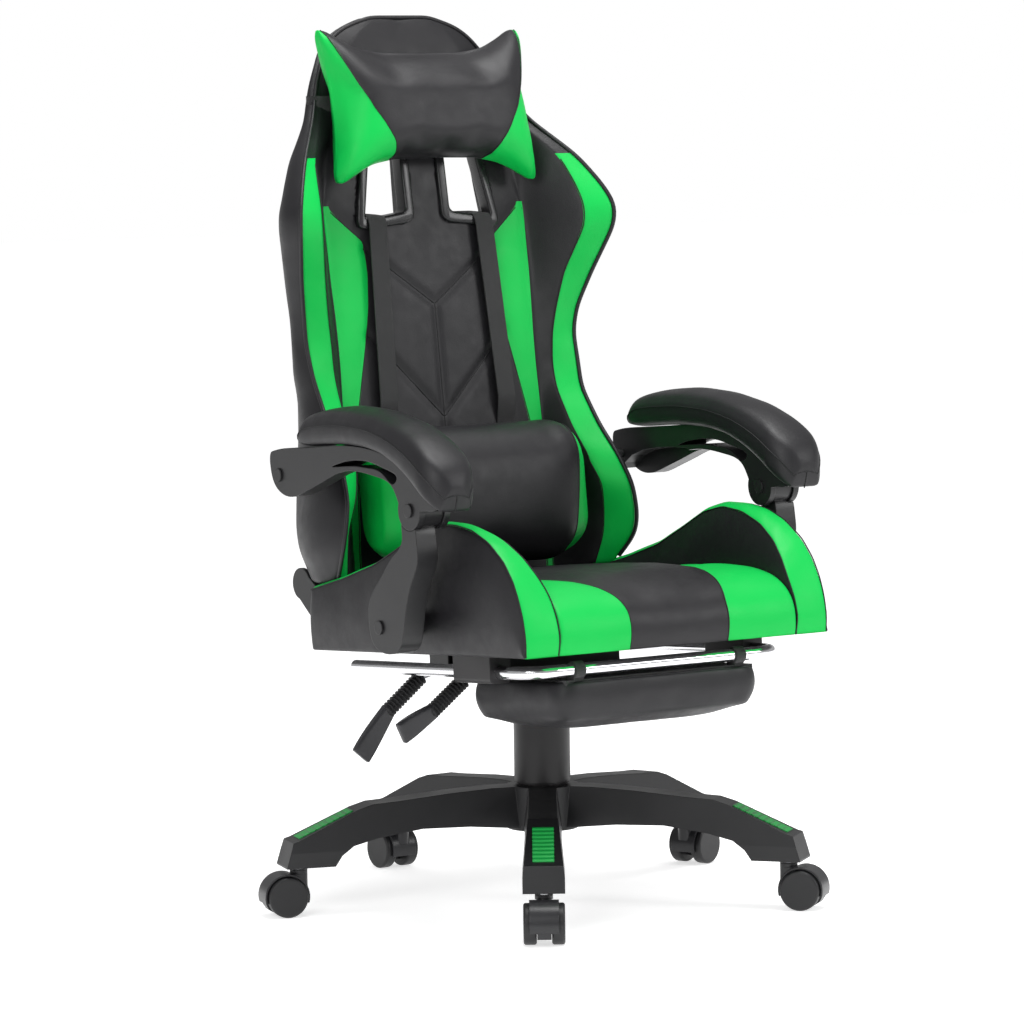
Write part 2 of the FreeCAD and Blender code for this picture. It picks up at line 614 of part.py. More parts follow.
# ---------------------------------------------------------------- back
# z, front of the middle, half width at the edge, y of the front edge, y of the outer rear corner,
# y of the rear face
BACK_STATIONS = [(BACK_BOTTOM, 190, 216, 129, 215, 240), (470, 197, 222, 100, 225, 248),
                 (545, 206, 212, 122, 245, 256), (600, 213, 204, 168, 253, 263),
                 (680, 223, 204, 206, 258, 273), (740, 231, 212, 208, 256, 281),
                 (HEAD_START, 248, 240, 166, 215, 298), (895, 256, 231, 176, 225, 305),
                 (HEAD_FULL, 267, 190, 228, 262, 312), (1010, 279, 155, 270, 290, 322),
                 (1077, 294, 122, 296, 308, 332), (BACK_TOP, 302, 88, 304, 312, 334)]


def station_at(z):
    """All values of the back's section at a height, straight between its stations."""
    for low, high in zip(BACK_STATIONS, BACK_STATIONS[1:]):
        if low[0] <= z <= high[0]:
            share = (z - low[0]) / (high[0] - low[0])
            return [a + (b - a) * share for a, b in zip(low, high)]
    return list(BACK_STATIONS[0] if z < BACK_STATIONS[0][0] else BACK_STATIONS[-1])


def front_y(z):
    """Front of the back's middle panel, carried on in a straight line below its bottom edge."""
    if z < BACK_BOTTOM:
        slope = (BACK_STATIONS[1][1] - BACK_STATIONS[0][1]) / (BACK_STATIONS[1][0] - BACK_BOTTOM)
        return BACK_STATIONS[0][1] + slope * (z - BACK_BOTTOM)
    return station_at(z)[1]


def loft(sections):
    wires = [Part.makePolygon(section + section[:1]) for section in sections]
    return Part.makeLoft(wires, True, True)


def stacked_loft(sections):
    """Ruled solids between neighbouring sections, joined: each stays simple and exact."""
    return fuse([loft([low, high]) for low, high in zip(sections, sections[1:])])


def heights(low, high):
    return [station[0] for station in BACK_STATIONS if low <= station[0] <= high]


def middle_section(z):
    values = station_at(z)
    half = CENTRE_BACK_HALF
    return [point(-half, values[1], z), point(half, values[1], z), point(half, values[5], z),
            point(-half, values[5], z)]


def wing_section(z):
    z, front, half, edge_y, corner_y, rear = station_at(z)
    inner = CENTRE_BACK_HALF
    return [point(inner, front, z), point(half - 20, edge_y + 3, z), point(half - 6, edge_y, z),
            point(half, edge_y + 8, z), point(half, corner_y, z), point(half - 18, corner_y + 18, z),
            point(inner, rear, z)]


def head_section(z):
    z, front, half, edge_y, corner_y, rear = station_at(z)
    middle = min(half - 25, 70.0)
    right = [point(middle, front, z), point(half - 14, edge_y, z), point(half, edge_y + 8, z),
             point(half, corner_y, z), point(middle, rear, z)]
    left = [point(-p.x, p.y, z) for p in reversed(right)]
    return right + left


def hinge_relief():
    start = point(-SIDE_PLATE_X - 30, HINGE_Y, HINGE_Z)
    ends = []
    for side in (-1, 1):
        inner = point(side * (SIDE_PLATE_X - 8), HINGE_Y, HINGE_Z)
        outer = point(side * (SIDE_PLATE_X + 30), HINGE_Y, HINGE_Z)
        ends.append(rod(HINGE_RELIEF_RADIUS, inner, outer))
    return Part.makeCompound(ends)


FRAME_LEVELS = [(430.0, FRAME_TUBE_X), (600.0, FRAME_TUBE_X), (HEAD_START - 26, FRAME_TUBE_X),
                (965.0, FRAME_TUBE_X), (1060.0, 88.0)]


def back_frame():
    """Bent steel tube inside the foam, turning on a cross tube at the hinge."""
    solids = []
    levels = [(z, x, (station_at(z)[1] + station_at(z)[5]) / 2) for z, x in FRAME_LEVELS]
    joints = [point(FRAME_TUBE_X, HINGE_Y, HINGE_Z)] + [point(x, y, z) for z, x, y in levels]
    for side in (-1, 1):
        spots = [point(side * spot.x, spot.y, spot.z) for spot in joints]
        for start, end in zip(spots, spots[1:]):
            solids.append(rod(FRAME_TUBE_RADIUS, start, end))
        for spot in spots[1:]:
            solids.append(Part.makeSphere(FRAME_TUBE_RADIUS, spot))
        # bracket out to the armrest's rear bolt
        y, z = REAR_PIVOT
        tube_y = (station_at(z)[1] + station_at(z)[5]) / 2
        x_low, x_high = sorted((side * FRAME_TUBE_X, side * 206.0))
        solids.append(block((x_low, x_high), (tube_y - 5, tube_y + 1), (z - 10, z + 10)))
        x_low, x_high = sorted((side * 200.0, side * 206.0))
        solids.append(block((x_low, x_high), (y - 14, tube_y + 1), (z - 10, z + 10)))
    for z, x, y in (levels[0], levels[2], levels[4]):
        solids.append(rod(FRAME_TUBE_RADIUS - 2, point(-x, y, z), point(x, y, z)))
    half = SIDE_PLATE_X - CLEAR
    axis_tube = pipe(HINGE_TUBE_RADIUS, HINGE_PIN_RADIUS + RUN_FIT, point(-half, HINGE_Y, HINGE_Z),
                     point(half, HINGE_Y, HINGE_Z))
    bore = rod(HINGE_PIN_RADIUS + RUN_FIT, point(-half, HINGE_Y, HINGE_Z), point(half, HINGE_Y, HINGE_Z))
    whole = fuse(solids).cut(bore)
    return fuse([whole, axis_tube]).cut(Part.makeCompound(back_arm_bolt_solids()))


def back_arm_bolt_solids():
    return [arm_bolt(side, REAR_PIVOT, 200.0) for side in (-1, 1)]


HOLE_BOTTOM_INNER = (34.0, 864.0)
HOLE_BOTTOM_OUTER = (97.0, 855.0)
HOLE_TOP_OUTER = (76.0, 962.0)
HOLE_TOP_INNER = (34.0, 962.0)


def harness_hole(side, grow):
    """Prism through the back for one belt opening, widened all round by grow."""
    corners = [HOLE_BOTTOM_INNER, HOLE_BOTTOM_OUTER, HOLE_TOP_OUTER, HOLE_TOP_INNER]
    wire = Part.makePolygon([point(side * x, 200, z) for x, z in corners + corners[:1]])
    if grow:
        wire = wire.makeOffset2D(grow, 2)
    return Part.Face(wire).extrude(point(0, 150, 0))


def harness_rims():
    """Moulded frames that line the two belt openings and stand a little proud at the front."""
    rims = []
    for side in (-1, 1):
        rim = harness_hole(side, RIM_WALL).cut(harness_hole(side, 0))
        sections = [
            [point(-130, station_at(z)[1] - RIM_PROUD, z), point(130, station_at(z)[1] - RIM_PROUD, z),
             point(130, station_at(z)[5] + 2, z), point(-130, station_at(z)[5] + 2, z)]
            for z in (HEAD_START, HEAD_FULL)]
        top = HEAD_FULL + 30
        sections.append([point(-130, station_at(top)[1] - RIM_PROUD, top),
                         point(130, station_at(top)[1] - RIM_PROUD, top),
                         point(130, station_at(top)[5] + 2, top), point(-130, station_at(top)[5] + 2, top)])
        bottom = HOLE_BOTTOM_OUTER[1] - RIM_WALL - 5
        slab_low = [point(p.x, p.y - 0.2, bottom) for p in sections[0]]
        body = stacked_loft([slab_low] + sections) if bottom < HEAD_START else stacked_loft(sections)
        rims.append(rim.common(body))
    return Part.makeCompound(rims)


def rim_cutters():
    return Part.makeCompound([harness_hole(side, RIM_WALL) for side in (-1, 1)])


def back_cushion():
    cushion = stacked_loft([middle_section(z) for z in heights(BACK_BOTTOM, HEAD_START)])
    return without_slivers(cushion.cut(back_frame()).cut(rim_cutters()))


def back_head_cushion():
    lower = stacked_loft([middle_section(z) for z in heights(HEAD_START, HEAD_FULL)])
    upper = stacked_loft([head_section(z) for z in heights(HEAD_FULL, BACK_TOP)])
    head = fuse([lower, upper])
    return without_slivers(head.cut(back_frame()).cut(rim_cutters()))


def back_wing(side):
    wing = stacked_loft([wing_section(z) for z in heights(BACK_BOTTOM, HEAD_FULL)])
    if side < 0:
        wing = mirrored(wing)
    wing = wing.cut(hinge_relief()).cut(back_frame())
    return without_slivers(wing.cut(Part.makeCompound(back_arm_bolt_solids())))


def harness_straps():
    """Two flat belts from the openings down the front of the back, behind the lumbar pillow."""
    straps = []
    gap = 0.6
    for side in (-1, 1):
        half = STRAP_WIDTH / 2
        x_low, x_high = sorted((side * (STRAP_X - half), side * (STRAP_X + half)))
        top_z = 838.0
        levels = [LUMBAR_BOTTOM + 8] + [z for z in heights(BACK_BOTTOM + 40, HEAD_START - 5)] + [top_z]
        front = [(front_y(z) - gap - STRAP_THICKNESS, z) for z in levels]
        rear = [(front_y(z) - gap, z) for z in reversed(levels)]
        straps.append(side_prism(front + rear, x_low, x_high))
    return Part.makeCompound(straps)


# ---------------------------------------------------------------- pillows
def lumbar_pillow():
    """Bolster pillow, flat at the rear, that slides up and down on the belts."""
    back_gap = STRAP_THICKNESS + 1.8
    z_low, z_high = LUMBAR_BOTTOM, LUMBAR_TOP
    slope = (front_y(z_high) - front_y(470)) / (z_high - 470)
    rear_low = front_y(z_high) - slope * (z_high - z_low) - back_gap
    rear_high = front_y(z_high) - back_gap
    outline = [(rear_low, z_low), (rear_high, z_high), (rear_high - 45, z_high + 1),
               (rear_high - 88, z_high - 32), (rear_high - LUMBAR_DEPTH, z_high - 95),
               (rear_low - LUMBAR_DEPTH + 16, z_low + 45), (rear_low - 70, z_low + 6)]
    return side_prism(outline, -LUMBAR_HALF_WIDTH, LUMBAR_HALF_WIDTH)


def head_pillow():
    """Neck pillow: its four corners are drawn out, and its ends stand forward over the wings."""
    gap = RIM_PROUD + 1.5
    mid = (HEAD_PILLOW_TOP + HEAD_PILLOW_BOTTOM) / 2
    tall = (HEAD_PILLOW_TOP - HEAD_PILLOW_BOTTOM) / 2

    def column(x, rise, forward, depth):
        low = mid - rise
        high = mid + rise
        rear_low = front_y(low) - gap - forward
        rear_high = front_y(high) - gap - forward
        face = (rear_low + rear_high) / 2 - depth
        return [point(x, rear_low, low), point(x, face, mid - rise * 0.55),
                point(x, face, mid + rise * 0.55), point(x, rear_high, high)]

    end = HEAD_PILLOW_HALF
    shoulder = HEAD_PILLOW_HALF * 0.6
    rows = [column(-end, tall, 46, 20), column(-shoulder, tall * 0.8, 16, HEAD_PILLOW_DEPTH * 0.8),
            column(0, tall * 0.68, 2, HEAD_PILLOW_DEPTH), column(shoulder, tall * 0.8, 16, HEAD_PILLOW_DEPTH * 0.8),
            column(end, tall, 46, 20)]
    return stacked_loft(rows)


def head_pillow_strap():
    """Elastic band that runs round the rear of the head section to the pillow's ends."""
    z = 1010.0
    values = station_at(z)
    half = values[2] + 1.0
    width = 30.0
    thickness = 2.0
    gap = 6.0

    def ring(grow):
        rear_half = 70.0
        return [point(-half - grow, values[3] - 4, z - width / 2), point(-half - grow, values[4] + gap, z - width / 2),
                point(-rear_half, values[5] + gap + grow, z - width / 2),
                point(rear_half, values[5] + gap + grow, z - width / 2),
                point(half + grow, values[4] + gap, z - width / 2), point(half + grow, values[3] - 4, z - width / 2)]

    outer = ring(8 + thickness)
    inner = ring(8)
    band = prism(outer + list(reversed(inner)), point(0, 0, width))
    return band


# ---------------------------------------------------------------- armrests
def upright(side):
    """Moulded link from the seat's lower bolt to the barrel under the armrest."""
    y_top, z_top = FRONT_PIVOT
    y_low, z_low = LOWER_PIVOT
    outline = [(y_low + 25, z_low + 8), (y_low + 20, z_low + 34), (y_low - 4, z_low + 61), (y_low - 31, z_low + 88),
               (y_top + 16, z_top - 34), (y_top + 16, z_top - 14), (y_top - 8, z_top - 16),
               (y_top - 15, z_top - 34), (y_top - 17, z_top - 60), (y_top - 4, z_top - 85),
               (y_top + 6, z_top - 107), (y_low - 54, z_low + 4), (y_low - 44, z_low - 22),
               (y_low - 12, z_low - 31), (y_low + 14, z_low - 22)]
    x_in = side * UPRIGHT_INNER_X
    x_out = side * ARM_OUTER_X
    body = smooth_side_prism(outline, x_in, x_out)
    inner_cheek = side * (ARM_INNER_X + CHEEK + CLEAR)
    outer_cheek = side * (ARM_OUTER_X - CHEEK - CLEAR)
    barrel = rod(BARREL_RADIUS - 2, point(inner_cheek, y_top, z_top), point(outer_cheek, y_top, z_top))
    for edge, span in ((side * (ARM_OUTER_X - CHEEK - CLEAR), 20), (side * (ARM_INNER_X + CHEEK + CLEAR), -20)):
        cheek_cut = rod(BARREL_RADIUS + 1.5, point(edge, y_top, z_top), point(edge + side * span, y_top, z_top))
        body = body.cut(cheek_cut)
    whole = fuse([body, barrel])
    for pivot in (FRONT_PIVOT, LOWER_PIVOT):
        y, z = pivot
        whole = whole.cut(rod(LINK_PIN_RADIUS + RUN_FIT, point(side * 200, y, z), point(side * 300, y, z)))
    return whole


SHELL_TOP = [(171, 572), (143, 577), (96, 580), (40, 585), (-13, 587.5), (-60, 585), (-100, 577),
             (-132, 564), (-161, 547), (-184, 535), (-200, 529)]
SHELL_FRONT = [(-206, 524.5), (-196, 519), (-176, 517.5), (-158, 515), (-141, 513), (-126, 515), (-117, 526),
               (-104, 543), (-70, 553), (-27, 557)]
SHELL_REAR_OUTER = [(15, 553), (53, 540), (90, 527), (120, 518), (145, 519), (164, 529), (175, 550)]
SHELL_RELIEF = [(10, 556.5), (45, 556.5), (80, 554), (110, 549.5), (135, 541), (150, 531), (158, 520), (160, 500),
                (10, 500)]
SHELL_SLOT = [(28, 561), (-9, 569), (-55, 570), (-92, 563), (-115, 552), (-110, 547), (-86, 556),
              (-50, 562.5), (0, 562)]


def armrest_shell(side):
    """Moulded armrest body: a channel with a long slot, a fork at the front and a bore at the rear."""
    x_in = side * ARM_INNER_X
    x_out = side * ARM_OUTER_X
    x_mid = side * (ARM_INNER_X + ARM_OUTER_X) / 2
    body = smooth_side_prism(SHELL_TOP + SHELL_FRONT + SHELL_REAR_OUTER, x_in, x_out)
    body = body.cut(side_prism(SHELL_RELIEF, side * (ARM_INNER_X - 5), x_mid))
    y_top, z_top = FRONT_PIVOT
    for face, span in ((x_in, side * CHEEK), (x_out, -side * CHEEK)):
        body = body.fuse(rod(BARREL_RADIUS + 1, point(face, y_top, z_top), point(face + span, y_top, z_top)))
    gap_in = side * (ARM_INNER_X + CHEEK)
    gap_out = side * (ARM_OUTER_X - CHEEK)
    body = body.cut(rod(BARREL_RADIUS + 1, point(gap_in, y_top, z_top), point(gap_out, y_top, z_top)))
    x_low, x_high = sorted((gap_in, gap_out))
    body = body.cut(block((x_low, x_high), (y_top - 27, y_top + 27), (z_top - 40, z_top)))
    body = body.cut(smooth_side_prism(SHELL_SLOT, side * (ARM_INNER_X - 5), side * (ARM_OUTER_X + 5)))
    y, z = REAR_PIVOT
    body = body.cut(rod(LINK_PIN_RADIUS + REAR_BORE_EXTRA, point(side * 200, y, z), point(side * 300, y, z)))
    return body.cut(armrest_pivot(side))


def armrest_pivot(side):
    y, z = FRONT_PIVOT
    inner = point(side * (ARM_INNER_X - CAP_HEIGHT), y, z)
    face = point(side * ARM_INNER_X, y, z)
    pin = arm_bolt(side, FRONT_PIVOT, ARM_INNER_X)
    return fuse([pin, rod(CAP_RADIUS, inner, face)])


PAD_TOP = [(106, 588), (107, 604), (92, 616), (60, 624), (0, 629.5), (-60, 626), (-120, 615), (-165, 599),
           (-196, 582), (-213, 564), (-217, 547), (-211, 534)]
PAD_NOSE_RADIUS = 38.0


def armrest_pad(side):
    """Padded top: it follows the shell's upper line and folds down over its front end."""
    core = [(-199, 531), (-184, 528), (-161, 540), (-132, 557), (-100, 570), (-60, 578), (-13, 580), (40, 578),
            (96, 574)]
    pad = smooth_side_prism(PAD_TOP + core, PAD_INNER_X, PAD_OUTER_X)
    plan = block((PAD_INNER_X, PAD_OUTER_X), (-217.5, 107.5), (500, 660))
    plan = rounded(plan, PAD_NOSE_RADIUS, lambda edge: abs(edge.CenterOfMass.z - 580) < 1
                   and edge.CenterOfMass.y < 0)
    plan = rounded(plan, 14.0, lambda edge: abs(edge.CenterOfMass.z - 580) < 1 and edge.CenterOfMass.y > 100)
    pad = pad.common(plan)
    pad = pad.cut(smooth_side_prism(SHELL_TOP + SHELL_FRONT + SHELL_REAR_OUTER, PAD_INNER_X - 5, PAD_OUTER_X + 5))
    pad = without_slivers(pad)
    return pad if side > 0 else mirrored(pad)


# ---------------------------------------------------------------- build every sub-part
save("base_star", base_star())
save("arm_inserts", arm_inserts())
for number in range(ARM_COUNT):
    hood, pins, wheels = caster_parts(FIRST_ARM_ANGLE + number * 360.0 / ARM_COUNT)
    label = str(number + 1)
    save("caster_hood_" + label, hood)
    save("caster_pins_" + label, pins)
    save("caster_wheels_" + label, wheels)

save("gas_outer_tube", gas_outer_tube())
save("gas_guide_bush", gas_guide_bush())
save("thrust_bearing", thrust_bearing())
save("gas_piston_rod", gas_piston_rod())
save("gas_cylinder", gas_cylinder())
save("gas_valve_pin", gas_valve_pin())
for number, name in enumerate(("lower", "middle", "upper")):
    save("column_cover_" + name, column_cover(number))

save("mechanism_tray", mechanism_tray())
save("seat_board", seat_board())
save("seat_bolts", Part.makeCompound(seat_bolt_solids() + seat_arm_bolt_solids()))
save("seat_side_plates", Part.makeCompound([side_plate(-1), side_plate(1)]))
save("seat_cushion", seat_cushion())
for name in ("height", "recline"):
    save(name + "_lever", lever(name))
    save(name + "_lever_sleeve", lever_sleeve(name))
save("footrest_rail", footrest_rail())
save("footrest_guides", footrest_guides())
save("footrest_board", footrest_board())
save("footrest_cushion", footrest_cushion())

save("back_frame", back_frame())
save("back_arm_bolts", Part.makeCompound(back_arm_bolt_solids()))
save("back_cushion", back_cushion())
save("back_head_cushion", back_head_cushion())
save("harness_rims", harness_rims())
save("harness_straps", harness_straps())
save("lumbar_pillow", lumbar_pillow())
save("head_pillow", head_pillow())
save("head_pillow_strap", head_pillow_strap())

for side, name in ((1, "left"), (-1, "right")):
    save("seat_bolster_" + name, seat_bolster(side))
    save("back_wing_" + name, back_wing(side))
    save("arm_upright_" + name, upright(side))
    save("armrest_shell_" + name, armrest_shell(side))
    save("armrest_pad_" + name, armrest_pad(side))
    save("armrest_pivot_" + name, armrest_pivot(side))
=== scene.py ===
"""Looks of a gaming chair: a reclining winged back on a five-armed caster base, with linked
armrests, two loose pillows and a footrest that slides out from under the seat.

Units are metres in the chair's own frame: +Z up, the sitter faces -Y, +X is the sitter's left.
"""
import bpy
import numpy as np
from math import cos, hypot, pi, radians, sin
from mathutils import Euler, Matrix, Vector
from mathutils.bvhtree import BVHTree


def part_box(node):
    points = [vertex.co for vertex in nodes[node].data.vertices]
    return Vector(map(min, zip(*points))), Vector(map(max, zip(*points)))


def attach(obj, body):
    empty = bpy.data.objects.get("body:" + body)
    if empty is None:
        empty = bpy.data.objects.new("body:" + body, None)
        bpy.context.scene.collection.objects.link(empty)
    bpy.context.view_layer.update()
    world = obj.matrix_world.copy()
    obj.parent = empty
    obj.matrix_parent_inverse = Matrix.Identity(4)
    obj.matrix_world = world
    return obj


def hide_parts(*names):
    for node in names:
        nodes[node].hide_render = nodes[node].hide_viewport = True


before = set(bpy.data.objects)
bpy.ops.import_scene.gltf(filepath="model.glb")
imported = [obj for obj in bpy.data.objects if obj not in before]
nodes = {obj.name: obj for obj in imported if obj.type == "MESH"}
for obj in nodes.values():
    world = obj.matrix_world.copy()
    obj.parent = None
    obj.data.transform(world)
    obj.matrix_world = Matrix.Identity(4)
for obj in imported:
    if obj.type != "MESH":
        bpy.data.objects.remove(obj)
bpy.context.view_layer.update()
bpy.ops.object.select_all(action="DESELECT")

# ---------------------------------------------------------------- camera, floor and studio light
# A long lens at the chair's left front, a little above seat height. The floor and the room are
# pale and plain, with one large soft light on each side and one overhead.
camera_data = bpy.data.cameras.new("camera")
camera_data.sensor_width = 36.0
camera_data.lens = 167.9
camera = bpy.data.objects.new("camera", camera_data)
camera.location = (-3.379, -4.924, 0.986)
level = Euler((radians(90 - 4.75), 0, radians(-34.14))).to_matrix()
tilt = Euler((0, 0, radians(-0.86))).to_matrix()
camera.rotation_euler = (level @ tilt).to_euler()
bpy.context.scene.collection.objects.link(camera)
bpy.context.scene.camera = camera

bpy.ops.mesh.primitive_plane_add(size=60, location=(0, 0, -0.0005))
floor = bpy.context.active_object
floor.name = "floor"
floor_paint = bpy.data.materials.new("floor_paint")
floor_paint.use_nodes = True
floor_paint.node_tree.nodes["Principled BSDF"].inputs["Base Color"].default_value = (0.86, 0.86, 0.86, 1)
floor_paint.node_tree.nodes["Principled BSDF"].inputs["Roughness"].default_value = 0.7
floor_paint.node_tree.nodes["Principled BSDF"].inputs["Emission Color"].default_value = (1, 1, 1, 1)
floor_paint.node_tree.nodes["Principled BSDF"].inputs["Emission Strength"].default_value = 0.64
floor.data.materials.append(floor_paint)

room = bpy.data.worlds.new("room")
room.use_nodes = True
room.node_tree.nodes["Background"].inputs["Color"].default_value = (1.0, 1.0, 1.0, 1)
room.node_tree.nodes["Background"].inputs["Strength"].default_value = 0.42
backdrop = room.node_tree.nodes.new("ShaderNodeBackground")
backdrop.inputs["Color"].default_value = (1, 1, 1, 1)
backdrop.inputs["Strength"].default_value = 1.0
seen = room.node_tree.nodes.new("ShaderNodeLightPath")
either = room.node_tree.nodes.new("ShaderNodeMixShader")
room.node_tree.links.new(seen.outputs["Is Camera Ray"], either.inputs["Fac"])
room.node_tree.links.new(room.node_tree.nodes["Background"].outputs["Background"], either.inputs[1])
room.node_tree.links.new(backdrop.outputs["Background"], either.inputs[2])
room.node_tree.links.new(either.outputs["Shader"], room.node_tree.nodes["World Output"].inputs["Surface"])
bpy.context.scene.world = room
bpy.context.scene.view_settings.view_transform = "Standard"


def soft_light(name, place, aim, size, watts):
    """A square softbox that looks at a point of the chair."""
    data = bpy.data.lights.new(name, "AREA")
    data.shape = "SQUARE"
    data.size = size
    data.energy = watts
    lamp = bpy.data.objects.new(name, data)
    lamp.location = place
    direction = Vector(aim) - Vector(place)
    lamp.rotation_euler = direction.to_track_quat("-Z", "Y").to_euler()
    bpy.context.scene.collection.objects.link(lamp)


soft_light("left_softbox", (-3.4, -2.4, 2.3), (0, 0, 0.6), 1.6, 56)
soft_light("right_softbox", (2.6, -3.6, 2.4), (0, 0, 0.6), 1.6, 62)
soft_light("top_softbox", (0.2, -0.4, 3.6), (0, 0, 0.5), 1.8, 108)


# ---------------------------------------------------------------- moulded plastic of the base
# Glass-filled nylon, injection moulded: near black, satin, with a fine spark-eroded texture and
# edges that catch the light.
def fill_slots(piece, material):
    piece.data.materials.clear()
    piece.data.materials.append(material)


def surface(name, colour, roughness, metallic=0.0):
    """A new material and its shader: the colour, roughness and bump are then wired by its maker."""
    material = bpy.data.materials.new(name)
    material.use_nodes = True
    material.diffuse_color = (*colour, 1)
    shader = material.node_tree.nodes["Principled BSDF"]
    shader.inputs["Base Color"].default_value = (*colour, 1)
    shader.inputs["Roughness"].default_value = roughness
    shader.inputs["Metallic"].default_value = metallic
    return material, material.node_tree, shader


def pattern(tree, kind, scale, detail=2.0):
    """A procedural texture on the piece's own coordinates."""
    place = tree.nodes.new("ShaderNodeTexCoord")
    texture = tree.nodes.new(kind)
    texture.inputs["Scale"].default_value = scale
    if "Detail" in texture.inputs:
        texture.inputs["Detail"].default_value = detail
    tree.links.new(place.outputs["Object"], texture.inputs["Vector"])
    return texture


def spread(tree, value, low, high, wanted):
    """Map a texture's value to a range and send it to a shader socket."""
    ramp = tree.nodes.new("ShaderNodeMapRange")
    ramp.inputs["From Min"].default_value = 0.3
    ramp.inputs["From Max"].default_value = 0.7
    ramp.inputs["To Min"].default_value = low
    ramp.inputs["To Max"].default_value = high
    tree.links.new(value, ramp.inputs["Value"])
    tree.links.new(ramp.outputs["Result"], wanted)


def mottle(tree, value, dark, light, wanted):
    """Blend two shades by a texture's value."""
    blend = tree.nodes.new("ShaderNodeMix")
    blend.data_type = "RGBA"
    blend.inputs["A"].default_value = (*dark, 1)
    blend.inputs["B"].default_value = (*light, 1)
    tree.links.new(value, blend.inputs["Factor"])
    tree.links.new(blend.outputs["Result"], wanted)


def raise_bumps(tree, shader, layers):
    """Chain bump nodes: each layer is a texture value, a strength and a height in metres."""
    normal = None
    for value, strength, height in layers:
        bump = tree.nodes.new("ShaderNodeBump")
        bump.inputs["Strength"].default_value = strength
        bump.inputs["Distance"].default_value = height
        tree.links.new(value, bump.inputs["Height"])
        if normal:
            tree.links.new(normal, bump.inputs["Normal"])
        normal = bump.outputs["Normal"]
    tree.links.new(normal, shader.inputs["Normal"])


def moulded_plastic(name, colour, roughness, grain=1400.0, depth=0.00012):
    material, tree, shader = surface(name, colour, roughness)
    fine = pattern(tree, "ShaderNodeTexNoise", grain, 3.0)
    broad = pattern(tree, "ShaderNodeTexNoise", 14.0, 4.0)
    shade = tuple(c * 0.85 for c in colour)
    tint = tuple(min(c * 1.15, 1.0) for c in colour)
    mottle(tree, broad.outputs["Fac"], shade, tint, shader.inputs["Base Color"])
    spread(tree, broad.outputs["Fac"], roughness - 0.05, roughness + 0.05, shader.inputs["Roughness"])
    raise_bumps(tree, shader, [(fine.outputs["Fac"], 0.5, depth)])
    # worn, softened edges: the shading normal turns over a small radius
    soft_edge = tree.nodes.new("ShaderNodeBevel")
    soft_edge.inputs["Radius"].default_value = 0.0018
    soft_edge.samples = 4
    first_bump = [node for node in tree.nodes if node.type == "BUMP"][0]
    tree.links.new(soft_edge.outputs["Normal"], first_bump.inputs["Normal"])
    shader.inputs["Specular IOR Level"].default_value = 0.4
    return material


base_nylon = moulded_plastic("base_nylon", (0.009, 0.009, 0.010), 0.40)
fill_slots(nodes["base_star"], base_nylon)

# ---------------------------------------------------------------- green inserts of the base
# Five moulded plates let into the sloping ends of the arms, with raised V-shaped treads.
insert_green = moulded_plastic("insert_green", (0.008, 0.36, 0.06), 0.38)
tread_tree = insert_green.node_tree
treads = pattern(tread_tree, "ShaderNodeTexWave", 40.0, 0.0)
treads.wave_type = "RINGS"
treads.rings_direction = "Z"
tread_shader = tread_tree.nodes["Principled BSDF"]
grain_normal = tread_shader.inputs["Normal"].links[0].from_socket
ridge = tread_tree.nodes.new("ShaderNodeBump")
ridge.inputs["Strength"].default_value = 1.0
ridge.inputs["Distance"].default_value = 0.0016
tread_tree.links.new(treads.outputs["Fac"], ridge.inputs["Height"])
tread_tree.links.new(grain_normal, ridge.inputs["Normal"])
tread_tree.links.new(ridge.outputs["Normal"], tread_shader.inputs["Normal"])
fill_slots(nodes["arm_inserts"], insert_green)

# ---------------------------------------------------------------- casters
# Twin-wheel casters: a moulded hood over two nylon wheels, on a zinc-plated stem and axle.
hood_nylon = moulded_plastic("hood_nylon", (0.018, 0.018, 0.02), 0.34)
wheel_nylon = moulded_plastic("wheel_nylon", (0.010, 0.010, 0.011), 0.45)


def plated_steel(name, colour, roughness):
    material, tree, shader = surface(name, colour, roughness, 1.0)
    cloud = pattern(tree, "ShaderNodeTexNoise", 60.0, 4.0)
    spread(tree, cloud.outputs["Fac"], roughness - 0.06, roughness + 0.08, shader.inputs["Roughness"])
    raise_bumps(tree, shader, [(cloud.outputs["Fac"], 0.1, 0.0001)])
    return material


zinc = plated_steel("zinc_plate", (0.62, 0.63, 0.65), 0.3)
for number in range(1, 6):
    fill_slots(nodes[f"caster_hood_{number}"], hood_nylon)
    fill_slots(nodes[f"caster_wheels_{number}"], wheel_nylon)
    fill_slots(nodes[f"caster_pins_{number}"], zinc)

# ---------------------------------------------------------------- gas column
# Powder-coated pressure tube and ground steel cylinder inside three telescopic plastic covers.
cover_plastic = moulded_plastic("cover_plastic", (0.006, 0.005, 0.006), 0.42, 1800.0, 0.00006)
powder_coat = moulded_plastic("powder_coat", (0.015, 0.015, 0.016), 0.4, 900.0, 0.0002)
for name in ("column_cover_lower", "column_cover_middle", "column_cover_upper", "gas_guide_bush"):
    fill_slots(nodes[name], cover_plastic)
for name in ("gas_piston_rod", "gas_cylinder", "gas_valve_pin", "thrust_bearing"):
    fill_slots(nodes[name], zinc)
for name in ("gas_outer_tube", "mechanism_tray", "seat_side_plates", "back_frame", "seat_bolts",
             "back_arm_bolts", "armrest_pivot_left", "armrest_pivot_right"):
    fill_slots(nodes[name], powder_coat)


